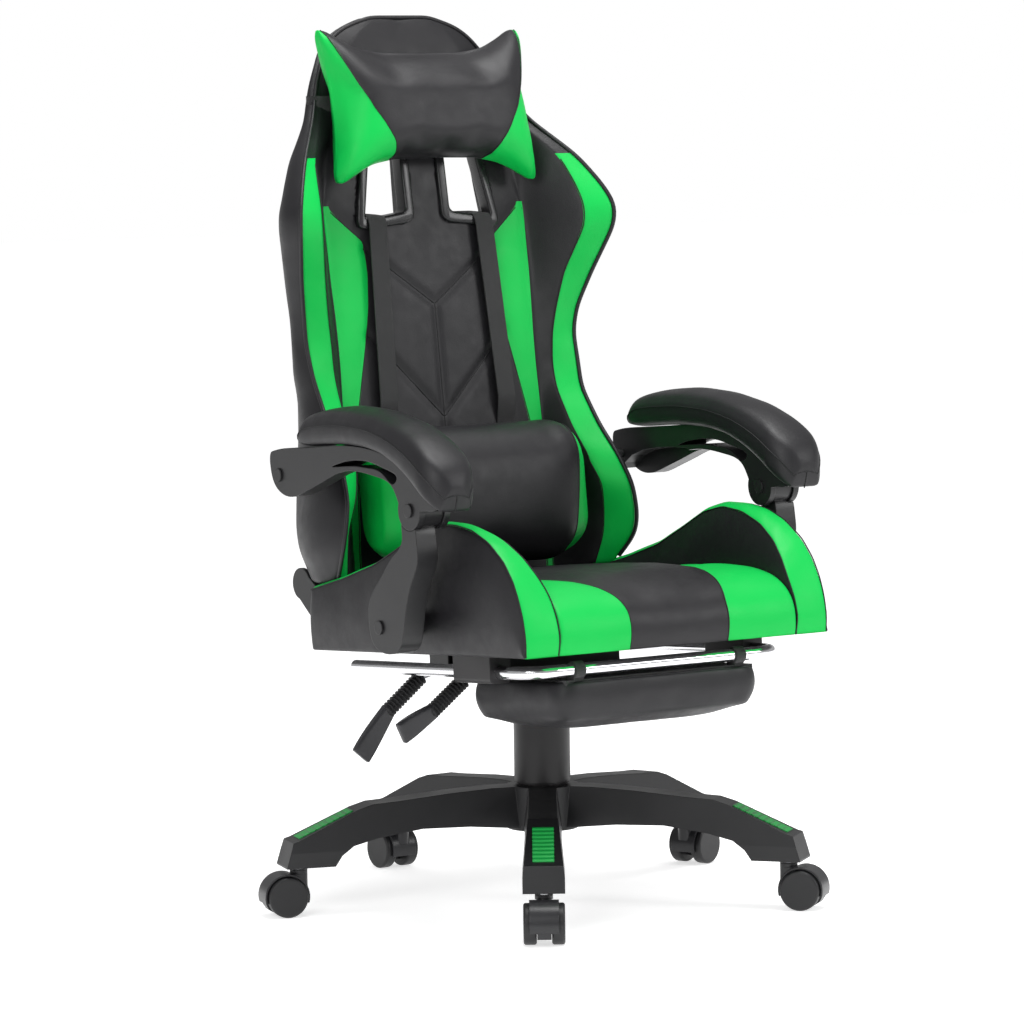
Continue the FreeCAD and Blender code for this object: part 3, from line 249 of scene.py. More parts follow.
# ---------------------------------------------------------------- boards
# The seat is built up on a plywood board, and a thinner one stiffens the foot pad. Underneath,
# both are covered with black lining cloth.
def woven(name, colour, pitch, roughness=0.85):
    """Cloth with warp and weft: two crossed wave patterns raise the threads."""
    material, tree, shader = surface(name, colour, roughness)
    heights = []
    for direction in ("X", "Z"):
        threads = pattern(tree, "ShaderNodeTexWave", 1.0 / pitch)
        threads.bands_direction = direction
        threads.inputs["Distortion"].default_value = 0.4
        heights.append(threads)
    broad = pattern(tree, "ShaderNodeTexNoise", 40.0, 3.0)
    shade = tuple(c * 0.7 for c in colour)
    tint = tuple(min(c * 1.3, 1.0) for c in colour)
    mottle(tree, broad.outputs["Fac"], shade, tint, shader.inputs["Base Color"])
    raise_bumps(tree, shader, [(heights[0].outputs["Fac"], 0.5, 0.0004), (heights[1].outputs["Fac"], 0.5, 0.0004)])
    shader.inputs["Sheen Weight"].default_value = 0.2
    return material


lining = woven("lining_cloth", (0.012, 0.012, 0.013), 0.0012)
fill_slots(nodes["seat_board"], lining)
fill_slots(nodes["footrest_board"], lining)


# ---------------------------------------------------------------- seat cushion
# Moulded foam on the board under a sewn cover of smooth synthetic leather: a black middle that
# widens to the rear, two green front panels, and a bolster on each side.
def leather(name, colour, light, roughness, shine):
    """Coated cloth: fine embossed grain, a broad soft unevenness and a thin glossy coat."""
    material, tree, shader = surface(name, colour, roughness)
    broad = pattern(tree, "ShaderNodeTexNoise", 9.0, 3.0)
    mottle(tree, broad.outputs["Fac"], colour, light, shader.inputs["Base Color"])
    cells = pattern(tree, "ShaderNodeTexVoronoi", 900.0)
    creases = pattern(tree, "ShaderNodeTexNoise", 55.0, 5.0)
    spread(tree, creases.outputs["Fac"], roughness - 0.05, roughness + 0.06, shader.inputs["Roughness"])
    raise_bumps(tree, shader, [(cells.outputs["Distance"], 0.25, 0.00035), (creases.outputs["Fac"], 0.25, 0.0012)])
    shader.inputs["Specular IOR Level"].default_value = shine
    return material


black_leather = leather("black_leather", (0.0085, 0.0080, 0.0095), (0.013, 0.0125, 0.0145), 0.44, 0.34)
green_leather = leather("green_leather", (0.002, 0.43, 0.062), (0.003, 0.50, 0.075), 0.44, 0.20)
seam_thread = moulded_plastic("seam_thread", (0.006, 0.006, 0.007), 0.6)


def padded_block(name, cells):
    """A closed block of small square faces from -1 to 1 each way, raised layer by layer."""
    across, deep, high = cells
    bpy.ops.object.select_all(action="DESELECT")
    bpy.ops.mesh.primitive_grid_add(x_subdivisions=across, y_subdivisions=deep, size=2)
    block = bpy.context.active_object
    block.name = name
    bpy.ops.object.mode_set(mode="EDIT")
    bpy.ops.mesh.select_all(action="SELECT")
    bpy.ops.transform.translate(value=(0, 0, -1))
    for _ in range(high):
        bpy.ops.mesh.extrude_region_move(TRANSFORM_OT_translate={"value": (0, 0, 2 / high)})
    bpy.ops.mesh.select_all(action="SELECT")
    bpy.ops.mesh.normals_make_consistent(inside=False)
    bpy.ops.object.mode_set(mode="OBJECT")
    return block


def corners_of(piece):
    flat = np.empty(len(piece.data.vertices) * 3)
    piece.data.vertices.foreach_get("co", flat)
    return flat.reshape(-1, 3)


def put_corners(piece, places):
    piece.data.vertices.foreach_set("co", np.asarray(places, float).ravel())
    piece.data.update()


def round_edges(u, v, half_u, half_v, radius):
    """Move points of a rectangle's outline onto the same rectangle with rounded corners."""
    core_u = np.clip(u, -half_u + radius, half_u - radius)
    core_v = np.clip(v, -half_v + radius, half_v - radius)
    du = u - core_u
    dv = v - core_v
    length = np.hypot(du, dv)
    both = (np.abs(du) > 1e-9) & (np.abs(dv) > 1e-9)
    scale = np.where(both, radius * np.maximum(np.abs(du), np.abs(dv)) / radius / np.maximum(length, 1e-9), 1.0)
    return core_u + du * scale, core_v + dv * scale


def inflate(piece, sewn, pressure, most, slack=0.02, calm=10):
    """Air pressure swells the cover while its seams hold: a short cloth pass, evened out and applied."""
    start = corners_of(piece)
    group = piece.vertex_groups.new(name="sewn")
    group.add([int(i) for i in np.nonzero(sewn)[0]], 1.0, "REPLACE")
    cloth = piece.modifiers.new("cover", "CLOTH")
    cloth.settings.vertex_group_mass = "sewn"
    cloth.settings.quality = 5
    cloth.settings.mass = 0.3
    cloth.settings.tension_stiffness = 12
    cloth.settings.compression_stiffness = 12
    cloth.settings.bending_stiffness = 2.0
    cloth.settings.shrink_min = -slack
    cloth.settings.use_pressure = True
    cloth.settings.uniform_pressure_force = pressure
    cloth.settings.effector_weights.gravity = 0
    cloth.collision_settings.use_collision = False
    for step in range(1, 21):
        bpy.context.scene.frame_set(step)
    bpy.context.view_layer.objects.active = piece
    bpy.ops.object.modifier_apply(modifier="cover")
    bpy.context.scene.frame_set(1)
    moved = corners_of(piece) - start
    length = np.linalg.norm(moved, axis=1)
    moved *= np.minimum(1.0, most / np.maximum(length, 1e-9))[:, None]
    ends = np.array([edge.vertices[:] for edge in piece.data.edges])
    joined = np.bincount(ends.ravel(), minlength=len(start))[:, None]
    for _ in range(calm):
        total = np.zeros_like(moved)
        np.add.at(total, ends[:, 0], moved[ends[:, 1]])
        np.add.at(total, ends[:, 1], moved[ends[:, 0]])
        moved = np.where(sewn[:, None], moved, (moved + total / joined) / 2)
    put_corners(piece, start + moved)
    piece.vertex_groups.clear()


def smooth_finish(piece, levels=1):
    rounder = piece.modifiers.new("rounder", "SUBSURF")
    rounder.levels = levels
    rounder.render_levels = levels
    bpy.ops.object.select_all(action="DESELECT")
    bpy.context.view_layer.objects.active = piece
    piece.select_set(True)
    bpy.ops.object.modifier_apply(modifier="rounder")
    bpy.ops.object.shade_smooth()


def colour_faces(piece, materials, choose):
    """Give each face the material whose number choose() returns for the face's row of centres."""
    piece.data.materials.clear()
    for material in materials:
        piece.data.materials.append(material)
    faces = piece.data.polygons
    faces.foreach_set("material_index", np.asarray(choose, int))
    piece.data.update()


def face_centres(piece, values):
    """The mean of a per-corner value over each face's corners."""
    return np.array([values[list(face.vertices)].mean(axis=0) for face in piece.data.polygons])


seat_low, seat_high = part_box("seat_cushion")
seat_half = seat_high.x                        # to the seam with the bolster
seat_front = seat_low.y
seat_rear = seat_high.y
board_line = 0.3277                            # underside on the column axis
seat_slope = 0.0617


def underside(y):
    return board_line - seat_slope * y


def smooth_run(values, count, passes=3):
    """Points evenly spread along a smooth line through a few given ones."""
    values = np.asarray(values, float)
    run = np.concatenate([[0], np.cumsum(np.linalg.norm(np.diff(values, axis=0), axis=1))])
    spots = np.linspace(0, run[-1], count)
    rough = np.column_stack([np.interp(spots, run, values[:, k]) for k in range(values.shape[1])])
    for _ in range(passes):
        rough[1:-1] = (rough[:-2] + 2 * rough[1:-1] + rough[2:]) / 4
    return rough


def flow(keys, values, passes=60):
    """A smooth line through tabled values, as a function of the key."""
    grid = np.linspace(keys[0], keys[-1], 400)
    dense = np.interp(grid, keys, values)
    for _ in range(passes):
        dense[1:-1] = (dense[:-2] + 2 * dense[1:-1] + dense[2:]) / 4
    return lambda key: np.interp(key, grid, dense)


seat_line = smooth_run([(-0.296, 0.346), (-0.3005, 0.362), (-0.2995, 0.380), (-0.291, 0.397), (-0.277, 0.4095),
                        (-0.252, 0.4185), (-0.215, 0.4235), (-0.17, 0.4235), (-0.10, 0.419), (0.0, 0.410),
                        (0.10, 0.401), (seat_rear, 0.393)], 240, 30)
MIDDLE_CELLS = 14                              # seat columns from the centre line to the green panels
PANEL_CELLS = 14                               # and from there to the bolster
seat_edge = flow([-0.31, -0.292, -0.256, -0.20, -0.15, -0.10, -0.05, -0.012, 0.2],
                 [0.072, 0.073, 0.086, 0.105, 0.125, 0.145, 0.160, 0.1755, 0.1755], 4)


def seat_place(unit):
    a, b, c = unit.T
    spot = (b + 1) / 2 * 239
    y_top = np.interp(spot, range(240), seat_line[:, 0])
    z_top = np.interp(spot, range(240), seat_line[:, 1])
    y_low = seat_front + 0.004 + (b + 1) / 2 * (seat_rear - seat_front - 0.004)
    z_low = underside(y_low)
    height = (c + 1) / 2
    y = y_low + (y_top - y_low) * height
    z = z_low + (z_top - z_low) * height
    edge = np.minimum(seat_edge(y), seat_half * 0.95)
    step = np.abs(a) * (MIDDLE_CELLS + PANEL_CELLS)
    x = np.where(step <= MIDDLE_CELLS, step / MIDDLE_CELLS * edge,
                 edge + (step - MIDDLE_CELLS) / PANEL_CELLS * (seat_half - edge)) * np.sign(a)
    return np.column_stack([x, y, z])


SEAT_ROWS = 76
seat = padded_block("seat_cushion_cover", (2 * (MIDDLE_CELLS + PANEL_CELLS), SEAT_ROWS, 6))
unit = corners_of(seat)
put_corners(seat, seat_place(unit))
column = np.rint(np.abs(unit[:, 0]) * (MIDDLE_CELLS + PANEL_CELLS))
row = np.rint((unit[:, 1] + 1) / 2 * SEAT_ROWS)
top_row_y = np.interp(np.arange(SEAT_ROWS + 1) / SEAT_ROWS * 239, range(240), seat_line[:, 0])
cross_row = int(np.argmin(np.abs(top_row_y + 0.030)))    # where a green panel ends at the bolster
panel_seam = (column == MIDDLE_CELLS) & (row <= cross_row) & (unit[:, 2] > 0.99)
seat_sewn = panel_seam | (column == MIDDLE_CELLS + PANEL_CELLS) | (unit[:, 2] < -0.99)
seat_sewn |= (unit[:, 1] > 0.99)
inflate(seat, seat_sewn, 5.0, 0.008, 0.01, 16)
seam_places = corners_of(seat)
centre_column = face_centres(seat, column)
centre_row = face_centres(seat, row)
colour_faces(seat, [black_leather, green_leather],
             (centre_column > MIDDLE_CELLS) & (centre_row < cross_row))
smooth_finish(seat)
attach(seat, "seat")
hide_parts("seat_cushion")


# ---------------------------------------------------------------- seams and piping
# Every sewn joint shows as a thin dark welt, and the edges that take wear have a thicker piping.
def welt(name, places, thickness, material, body, closed=False):
    """A round cord of that thickness through the given places, made into a mesh."""
    curve = bpy.data.curves.new(name, "CURVE")
    curve.dimensions = "3D"
    curve.bevel_depth = thickness / 2
    curve.bevel_resolution = 2
    curve.resolution_u = 2
    curve.use_fill_caps = True
    line = curve.splines.new("POLY")
    line.points.add(len(places) - 1)
    for spot, place in zip(line.points, places):
        spot.co = (*place, 1)
    line.use_cyclic_u = closed
    piece = bpy.data.objects.new(name, curve)
    bpy.context.scene.collection.objects.link(piece)
    bpy.ops.object.select_all(action="DESELECT")
    bpy.context.view_layer.objects.active = piece
    piece.select_set(True)
    bpy.ops.object.convert(target="MESH")
    piece = bpy.context.active_object
    bpy.ops.object.shade_smooth()
    fill_slots(piece, material)
    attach(piece, body)
    return piece


def on_surface(piece, starts, direction, sink):
    """Where rays from the starts meet the piece, moved in a little along the ray."""
    tree = BVHTree.FromObject(piece, bpy.context.evaluated_depsgraph_get())
    places = []
    for start in starts:
        hit = tree.ray_cast(Vector(start), Vector(direction))[0]
        if hit:
            places.append(hit + Vector(direction).normalized() * sink)
    return places


for side in (-1, 1):
    label = "left" if side > 0 else "right"
    line = panel_seam & (np.sign(unit[:, 0]) == side)
    ordered = seam_places[line][np.argsort(row[line])]
    welt("seat_panel_seam_" + label, [place + [0, 0, 0.0001] for place in ordered], 0.0016, seam_thread,
         "seat")

# ---------------------------------------------------------------- seat bolsters
# Foam side rolls of the seat: a black side panel, a green band along the crest that widens over
# the front end, and a black inner panel.
outer_crest = [(0.2240, -0.2960, 0.346), (0.2245, -0.2965, 0.368), (0.2245, -0.2915, 0.392), (0.2245, -0.283, 0.414),
               (0.2240, -0.2705, 0.436), (0.2235, -0.2500, 0.4585), (0.2230, -0.2180, 0.479), (0.2225, -0.182, 0.4915),
               (0.2225, -0.1450, 0.4955), (0.2225, -0.1050, 0.4935), (0.2230, -0.0680, 0.483), (0.2235, -0.020, 0.459),
               (0.2240, 0.0350, 0.4345), (0.2245, 0.1080, 0.412), (0.2245, seat_rear, 0.393)]
inner_crest = [(0.1772, -0.2960, 0.346), (0.1772, -0.3005, 0.368), (0.1772, -0.2935, 0.392), (0.1774, -0.284, 0.409),
               (0.1785, -0.2750, 0.422), (0.1815, -0.2620, 0.438), (0.1860, -0.2400, 0.458), (0.1900, -0.208, 0.4765),
               (0.1940, -0.1650, 0.4890), (0.1980, -0.1200, 0.492), (0.2010, -0.0760, 0.4825), (0.204, -0.023, 0.458),
               (0.2070, 0.0330, 0.433), (0.2090, 0.1070, 0.411), (0.2100, seat_rear, 0.392)]
bolster_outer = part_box("seat_bolster_left")[1].x
outer_crest = np.array(outer_crest) + [bolster_outer - 0.225, 0, 0]


def crest_line(points, share):
    run = np.concatenate([[0], np.cumsum(np.linalg.norm(np.diff(outer_crest, axis=0), axis=1))])
    return np.column_stack([flow(run, np.asarray(points)[:, k], 14)(share * run[-1]) for k in range(3)])


def bolster_place(unit, side):
    a, b, c = unit.T
    share = (b + 1) / 2
    outer = crest_line(outer_crest, share)
    inner = crest_line(inner_crest, share)
    across = ((a + 1) / 2)[:, None]
    top = inner + (outer - inner) * across
    y_low = seat_front + 0.004 + share * (seat_rear - seat_front - 0.004)
    low = np.column_stack([seat_half + 0.0015 + (bolster_outer - seat_half - 0.002) * across[:, 0], y_low,
                           underside(y_low)])
    height = ((c + 1) / 2)[:, None]
    place = low + (top - low) * height
    place[:, 2] += 0.005 * (1 - a ** 2) * (c > 0.99) * np.clip((share - 0.12) * 6, 0, 1)
    place[:, 0] += 0.003 * np.sin(pi * height[:, 0]) * (a > 0.99)
    return place * [side, 1, 1]


for side, name in ((1, "left"), (-1, "right")):
    bolster = padded_block("seat_bolster_cover_" + name, (9, 70, 20))
    unit = corners_of(bolster)
    put_corners(bolster, bolster_place(unit, side))
    if side < 0:
        bpy.ops.object.mode_set(mode="EDIT")
        bpy.ops.mesh.select_all(action="SELECT")
        bpy.ops.mesh.normals_make_consistent(inside=False)
        bpy.ops.object.mode_set(mode="OBJECT")
    on_side = np.abs(unit[:, 0]) > 0.99
    on_top = unit[:, 2] > 0.99
    on_end = np.abs(unit[:, 1]) > 0.99
    outer_seam = on_side & on_top & (unit[:, 0] > 0)
    bolster_sewn = (on_side & (on_top | on_end)) | (unit[:, 2] < -0.99) | (unit[:, 1] > 0.99)
    bolster_sewn |= (unit[:, 0] < -0.99) & (unit[:, 2] < -0.2)
    inflate(bolster, bolster_sewn, 5.0, 0.006, 0.01, 16)
    middle = face_centres(bolster, unit)
    seam_places = corners_of(bolster)
    for label, wanted in (("outer", 1), ("inner", -1)):
        line = on_top & (np.abs(unit[:, 0] - wanted) < 0.01)
        ordered = seam_places[line][np.argsort(unit[line, 1])]
        welt("seat_bolster_seam_" + label + "_" + name, list(ordered), 0.0016, seam_thread, "seat")
    crest_face = middle[:, 2] > 0.99
    front_face = middle[:, 1] < -0.99
    colour_faces(bolster, [black_leather, green_leather], crest_face | front_face)
    smooth_finish(bolster)
    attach(bolster, "seat")
    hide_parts("seat_bolster_" + name)

# ---------------------------------------------------------------- footrest
# A chromed steel tube bent to a U runs in two moulded guides under the seat, and carries a foam
# pad in black leather that turns over on the cross bar.
chrome = plated_steel("chrome_plate", (0.8, 0.8, 0.82), 0.12)
fill_slots(nodes["footrest_rail"], chrome)
fill_slots(nodes["footrest_guides"], cover_plastic)

foot_low, foot_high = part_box("footrest_cushion")
foot_pad = padded_block("footrest_cushion_cover", (36, 26, 8))
unit = corners_of(foot_pad)
a, b, c = unit.T
foot_half = foot_high.x + 0.005
foot_mid_y = (foot_low.y + foot_high.y) / 2
foot_deep = (foot_high.y - foot_low.y) / 2 - 0.003
x, y = round_edges(a * foot_half, b * foot_deep, foot_half, foot_deep, 0.026)
foot_top = underside(foot_mid_y + y) - 0.0345
shrink = 1 - 0.070 * ((1 - c) / 2) ** 3 - 0.035 * ((1 + c) / 2) ** 3
edge_drop = 0.008 * np.maximum(np.abs(x / foot_half), np.abs(y / foot_deep)) ** 6
z = foot_top - 0.001 - (1 - c) / 2 * (0.054 - edge_drop)
put_corners(foot_pad, np.column_stack([x * shrink, foot_mid_y + y * shrink, z]))
rim_line = (np.abs(np.abs(a) - 1) < 0.01) | (np.abs(np.abs(b) - 1) < 0.01)
foot_sewn = (c > 0.99) | ((c < -0.99) & rim_line)
inflate(foot_pad, foot_sewn, 5.0, 0.008, 0.02, 8)
fill_slots(foot_pad, black_leather)
smooth_finish(foot_pad)
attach(foot_pad, "foot_pad")
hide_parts("footrest_cushion")

# ---------------------------------------------------------------- levers
# Two bent rods from the pan on the sitter's right: each has a corrugated rubber sleeve and a flat
# moulded paddle, the front one for height and the rear one for the recline.
paddle_plastic = moulded_plastic("paddle_plastic", (0.028, 0.028, 0.031), 0.3)
sleeve_rubber = moulded_plastic("sleeve_rubber", (0.012, 0.012, 0.013), 0.55)
lever_runs = {"height": (-0.020, (-0.130, 0.289), (-0.177, 0.254), (-0.225, 0.231)),
              "recline": (0.069, (-0.135, 0.286), (-0.185, 0.247), (-0.228, 0.195))}


def aim_along(piece, start, end):
    """Turn a piece modelled along +Z from the origin so that it runs from start towards end."""
    piece.rotation_mode = "QUATERNION"
    piece.rotation_quaternion = (Vector(end) - Vector(start)).to_track_quat("Z", "Y")
    piece.location = start
    bpy.ops.object.select_all(action="DESELECT")
    piece.select_set(True)
    bpy.context.view_layer.objects.active = piece
    bpy.ops.object.transform_apply(location=True, rotation=True, scale=True)


for name, (y, knee, sleeve_end, tip) in lever_runs.items():
    knee = (knee[0], y, knee[1])
    sleeve_end = (sleeve_end[0], y, sleeve_end[1])
    tip = (tip[0], y, tip[1])
    # the corrugated sleeve: a ring pushed out step by step, wide and narrow in turn
    length = (Vector(sleeve_end) - Vector(knee)).length + 0.004
    bpy.ops.object.select_all(action="DESELECT")
    bpy.ops.mesh.primitive_circle_add(vertices=32, radius=0.0074, fill_type="NGON")
    sleeve = bpy.context.active_object
    sleeve.name = name + "_lever_bellows"
    bpy.ops.object.mode_set(mode="EDIT")
    bpy.ops.mesh.select_all(action="SELECT")
    rings = 13
    for ring in range(rings):
        for scale, rise in ((1.34, 0.30), (1.0, 0.22), (1 / 1.34, 0.30), (1.0, 0.18)):
            bpy.ops.mesh.extrude_region_move(TRANSFORM_OT_translate={"value": (0, 0, length / rings * rise)})
            if scale != 1.0:
                bpy.ops.transform.resize(value=(scale, scale, 1))
    bpy.ops.mesh.select_all(action="SELECT")
    bpy.ops.mesh.normals_make_consistent(inside=False)
    bpy.ops.object.mode_set(mode="OBJECT")
    aim_along(sleeve, knee, sleeve_end)
    bpy.ops.object.shade_smooth_by_angle(angle=radians(50))
    fill_slots(sleeve, sleeve_rubber)
    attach(sleeve, name + "_lever")
    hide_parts(name + "_lever_sleeve")
    # the rod from the pan to the sleeve and the flat paddle, with its rounded end
    bpy.ops.object.select_all(action="DESELECT")
    bpy.ops.mesh.primitive_cube_add(size=2)
    paddle = bpy.context.active_object
    paddle.name = name + "_lever_paddle"
    length = (Vector(tip) - Vector(sleeve_end)).length + 0.006
    bpy.ops.object.mode_set(mode="EDIT")
    bpy.ops.mesh.select_all(action="SELECT")
    bpy.ops.transform.resize(value=(0.0062, 0.0085, length / 2))
    bpy.ops.transform.translate(value=(0, 0, length / 2 - 0.004))
    bpy.ops.mesh.subdivide(number_cuts=3)
    bpy.ops.object.mode_set(mode="OBJECT")
    for corner in paddle.data.vertices:
        share = (corner.co.z + 0.004) / length
        corner.co.y *= 1 + 0.62 * min(share * 1.5, 1.0)
        corner.co.x *= 1 - 0.25 * share
        corner.co.x += 0.004 * share * share
    bevel = paddle.modifiers.new("edges", "BEVEL")
    bevel.width = 0.0035
    bevel.segments = 3
    bevel.limit_method = "ANGLE"
    bpy.context.view_layer.objects.active = paddle
    bpy.ops.object.modifier_apply(modifier="edges")
    smooth_finish(paddle, 1)
    aim_along(paddle, sleeve_end, tip)
    fill_slots(paddle, paddle_plastic)
    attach(paddle, name + "_lever")
    bpy.ops.object.select_all(action="DESELECT")
    bpy.ops.mesh.primitive_cylinder_add(vertices=24, radius=0.004, depth=1)
    bar = bpy.context.active_object
    bar.name = name + "_lever_rod"
    pivot = (-0.035, y, 0.306)
    length = (Vector(knee) - Vector(pivot)).length
    bpy.ops.object.mode_set(mode="EDIT")
    bpy.ops.mesh.select_all(action="SELECT")
    bpy.ops.transform.resize(value=(1, 1, length + 0.004))
    bpy.ops.transform.translate(value=(0, 0, length / 2))
    bpy.ops.object.mode_set(mode="OBJECT")
    aim_along(bar, pivot, knee)
    bpy.ops.object.shade_smooth_by_angle(angle=radians(50))
    fill_slots(bar, zinc)
    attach(bar, name + "_lever")
    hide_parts(name + "_lever")

# ---------------------------------------------------------------- back cushion
# One foam moulding on the tube frame, from the seat to the head: a black middle, two green
# spear-shaped panels, black valleys and two wings with a green front strip. A black side panel
# and a black rear panel close it, and the cover's front edge is piped.
st_z = [0.400, 0.441, 0.468, 0.508, 0.547, 0.582, 0.631, 0.662, 0.702, 0.735, 0.782, 0.842, 0.868,
        0.895, 0.932, 0.983, 1.030, 1.077, 1.100, 1.114]
edge_x = [0.212, 0.225, 0.224, 0.218, 0.211, 0.205, 0.201, 0.205, 0.206, 0.210, 0.223, 0.240, 0.241,
          0.230, 0.209, 0.164, 0.142, 0.117, 0.093, 0.052]
edge_y = [0.140, 0.106, 0.099, 0.101, 0.124, 0.155, 0.190, 0.202, 0.214, 0.211, 0.194, 0.166, 0.164,
          0.178, 0.204, 0.256, 0.281, 0.299, 0.303, 0.304]
strip_x = [0.190, 0.197, 0.197, 0.189, 0.177, 0.170, 0.167, 0.168, 0.170, 0.175, 0.183, 0.200, 0.201,
           0.197, 0.188, 0.150, 0.128, 0.104, 0.080, 0.044]
strip_y = [0.150, 0.138, 0.136, 0.128, 0.144, 0.168, 0.198, 0.208, 0.210, 0.208, 0.200, 0.176, 0.177,
           0.190, 0.214, 0.258, 0.282, 0.297, 0.302, 0.304]
valley_x = [0.153, 0.153, 0.153, 0.153, 0.153, 0.153, 0.152, 0.151, 0.151, 0.152, 0.154, 0.154, 0.153,
            0.150, 0.142, 0.120, 0.100, 0.080, 0.062, 0.034]
panel_z = [0.40, 0.45, 0.588, 0.62, 0.712, 0.745, 0.785, 0.826, 0.872, 0.90, 0.96, 1.114]
panel_x = [0.145, 0.143, 0.134, 0.127, 0.106, 0.100, 0.096, 0.097, 0.150, 0.125, 0.080, 0.022]
mid_z = [0.405, 0.470, 0.600, 0.680, 0.740, 0.842, 0.895, 0.955, 1.010, 1.077, 1.114]
mid_y = [0.190, 0.197, 0.213, 0.223, 0.231, 0.248, 0.256, 0.267, 0.279, 0.294, 0.304]
rear_y = [0.238, 0.246, 0.260, 0.270, 0.278, 0.294, 0.301, 0.308, 0.316, 0.322, 0.320]
corner_z = [0.400, 0.470, 0.580, 0.655, 0.757, 0.842, 0.884, 0.955, 1.010, 1.077, 1.114]
corner_y = [0.216, 0.236, 0.256, 0.262, 0.252, 0.234, 0.232, 0.262, 0.290, 0.308, 0.310]
BACK_GROUPS = (14, 7, 7, 6)                    # columns in the middle, green panel, valley and strip
BACK_STEPS = np.cumsum((0,) + BACK_GROUPS)
back_rows = 92
edge_x_at, edge_y_at, strip_x_at, strip_y_at, valley_at = [
    flow(st_z, line, 36) for line in (edge_x, edge_y, strip_x, strip_y, valley_x)]
panel_at = flow(panel_z, panel_x, 1)
middle_at = flow(mid_z, mid_y)
rear_at = flow(mid_z, rear_y)
corner_at = flow(corner_z, corner_y)


def back_front(x, z):
    """Where the front of the back lies behind a point, from its column lines."""
    x = np.abs(x)
    middle = middle_at(z)
    x_valley = valley_at(z)
    x_strip = strip_x_at(z)
    x_edge = edge_x_at(z)
    y_strip = strip_y_at(z)
    y_edge = edge_y_at(z)
    inner = np.clip((x - x_valley) / np.maximum(x_strip - x_valley, 1e-4), 0, 1)
    outer = np.clip((x - x_strip) / np.maximum(x_edge - x_strip, 1e-4), 0, 1)
    y = middle + (y_strip - middle) * inner ** 1.25
    return y + (y_edge - y_strip) * outer


def back_place(unit):
    a, b, c = unit.T
    z = 0.400 + (c + 1) / 2 * 0.714
    step = np.abs(a) * BACK_STEPS[-1]
    lines = [np.zeros_like(z), panel_at(z), valley_at(z), strip_x_at(z), edge_x_at(z)]
    x = np.zeros_like(z)
    for number in range(4):
        low, high = BACK_STEPS[number], BACK_STEPS[number + 1]
        inside = (step >= low - 1e-6) & (step <= high + 1e-6)
        share = (step - low) / (high - low)
        x = np.where(inside, lines[number] + (lines[number + 1] - lines[number]) * share, x)
    front = back_front(x, z)
    half = lines[4]
    rear_half = half - 0.010
    x_rear = x / half * rear_half
    y_corner = corner_at(z)
    y_rear = rear_at(z)
    rear = y_rear - (y_rear - y_corner) * (np.abs(x_rear) / rear_half) ** 2.6
    depth = (b + 1) / 2
    bulge = 0.012 * np.sin(pi * depth) * (np.abs(a) > 0.999)
    # behind the seat the middle reaches a little lower than the wings
    z = z - 0.014 * (1 - c) / 2 * np.clip((0.19 - x) / 0.03, 0, 1) * (c < -0.6)
    return np.column_stack([(x + (x_rear - x) * depth + bulge) * np.sign(a), front + (rear - front) * depth, z])


back = padded_block("back_cover", (2 * int(BACK_STEPS[-1]), 6, back_rows))
unit = corners_of(back)
put_corners(back, back_place(unit))
step = np.rint(np.abs(unit[:, 0]) * BACK_STEPS[-1])
level_z = 0.400 + (unit[:, 2] + 1) / 2 * 0.714
is_front = unit[:, 1] < -0.99
is_rear = unit[:, 1] > 0.99
back_sewn = is_front & (step == BACK_STEPS[4])
back_sewn |= is_rear & (step == BACK_STEPS[4])
back_sewn |= is_front & (step == BACK_STEPS[1]) & (level_z < 0.878)
back_sewn |= is_front & (step == BACK_STEPS[2]) & (level_z < 0.90)
back_sewn |= is_front & (step == BACK_STEPS[3]) & (level_z < 0.935)
back_sewn |= (unit[:, 2] < -0.99)
inflate(back, back_sewn, 5.0, 0.005, 0.01, 16)
seam_places = corners_of(back)
centre_step = face_centres(back, step)
centre_z = face_centres(back, level_z)
centre_unit = face_centres(back, unit)
front_face = centre_unit[:, 1] < -0.99
spear = front_face & (centre_step > BACK_STEPS[1]) & (centre_step < BACK_STEPS[2]) & (centre_z < 0.872)
strip = front_face & (centre_step > BACK_STEPS[3]) & (centre_z < 0.932)
colour_faces(back, [black_leather, green_leather], spear | strip)
smooth_finish(back)

# quilting: two V seams joined by a centre seam are drawn into the middle of the back
quilting = {"upper": [(-0.098, 0.818), (0, 0.745), (0.098, 0.818)],
            "lower": [(-0.104, 0.708), (0, 0.600), (0.104, 0.708)], "centre": [(0, 0.745), (0, 0.560)]}
places = corners_of(back)
near = np.full(len(places), 1.0)
for line in quilting.values():
    for start, end in zip(line[:-1], line[1:]):
        start, end = np.array(start), np.array(end)
        along = np.clip(((places[:, [0, 2]] - start) @ (end - start)) / ((end - start) @ (end - start)), 0, 1)
        near = np.minimum(near, np.linalg.norm(places[:, [0, 2]] - (start + along[:, None] * (end - start)), axis=1))
on_front = places[:, 1] < middle_at(places[:, 2]) + 0.004
places[:, 1] += np.where(on_front, 0.0028 * np.exp(-(near / 0.006) ** 2), 0)
put_corners(back, places)

# belt openings: two slanted windows cut through the cushion
hole_low_in = (0.034, 0.864)
hole_low_out = (0.097, 0.855)
hole_top_out = (0.076, 0.962)
hole_top_in = (0.034, 0.962)
rim_wall = 0.013


def opening_outline(grow):
    """The opening's four corners, moved outwards by grow."""
    corners = [hole_low_in, hole_low_out, hole_top_out, hole_top_in]
    middle = Vector((0.061, 0.91))
    out = []
    for corner in corners:
        away = Vector(corner) - middle
        out.append((corner[0] + grow * (1 if away.x > 0 else -1), corner[1] + grow * (1 if away.y > 0 else -1)))
    return out


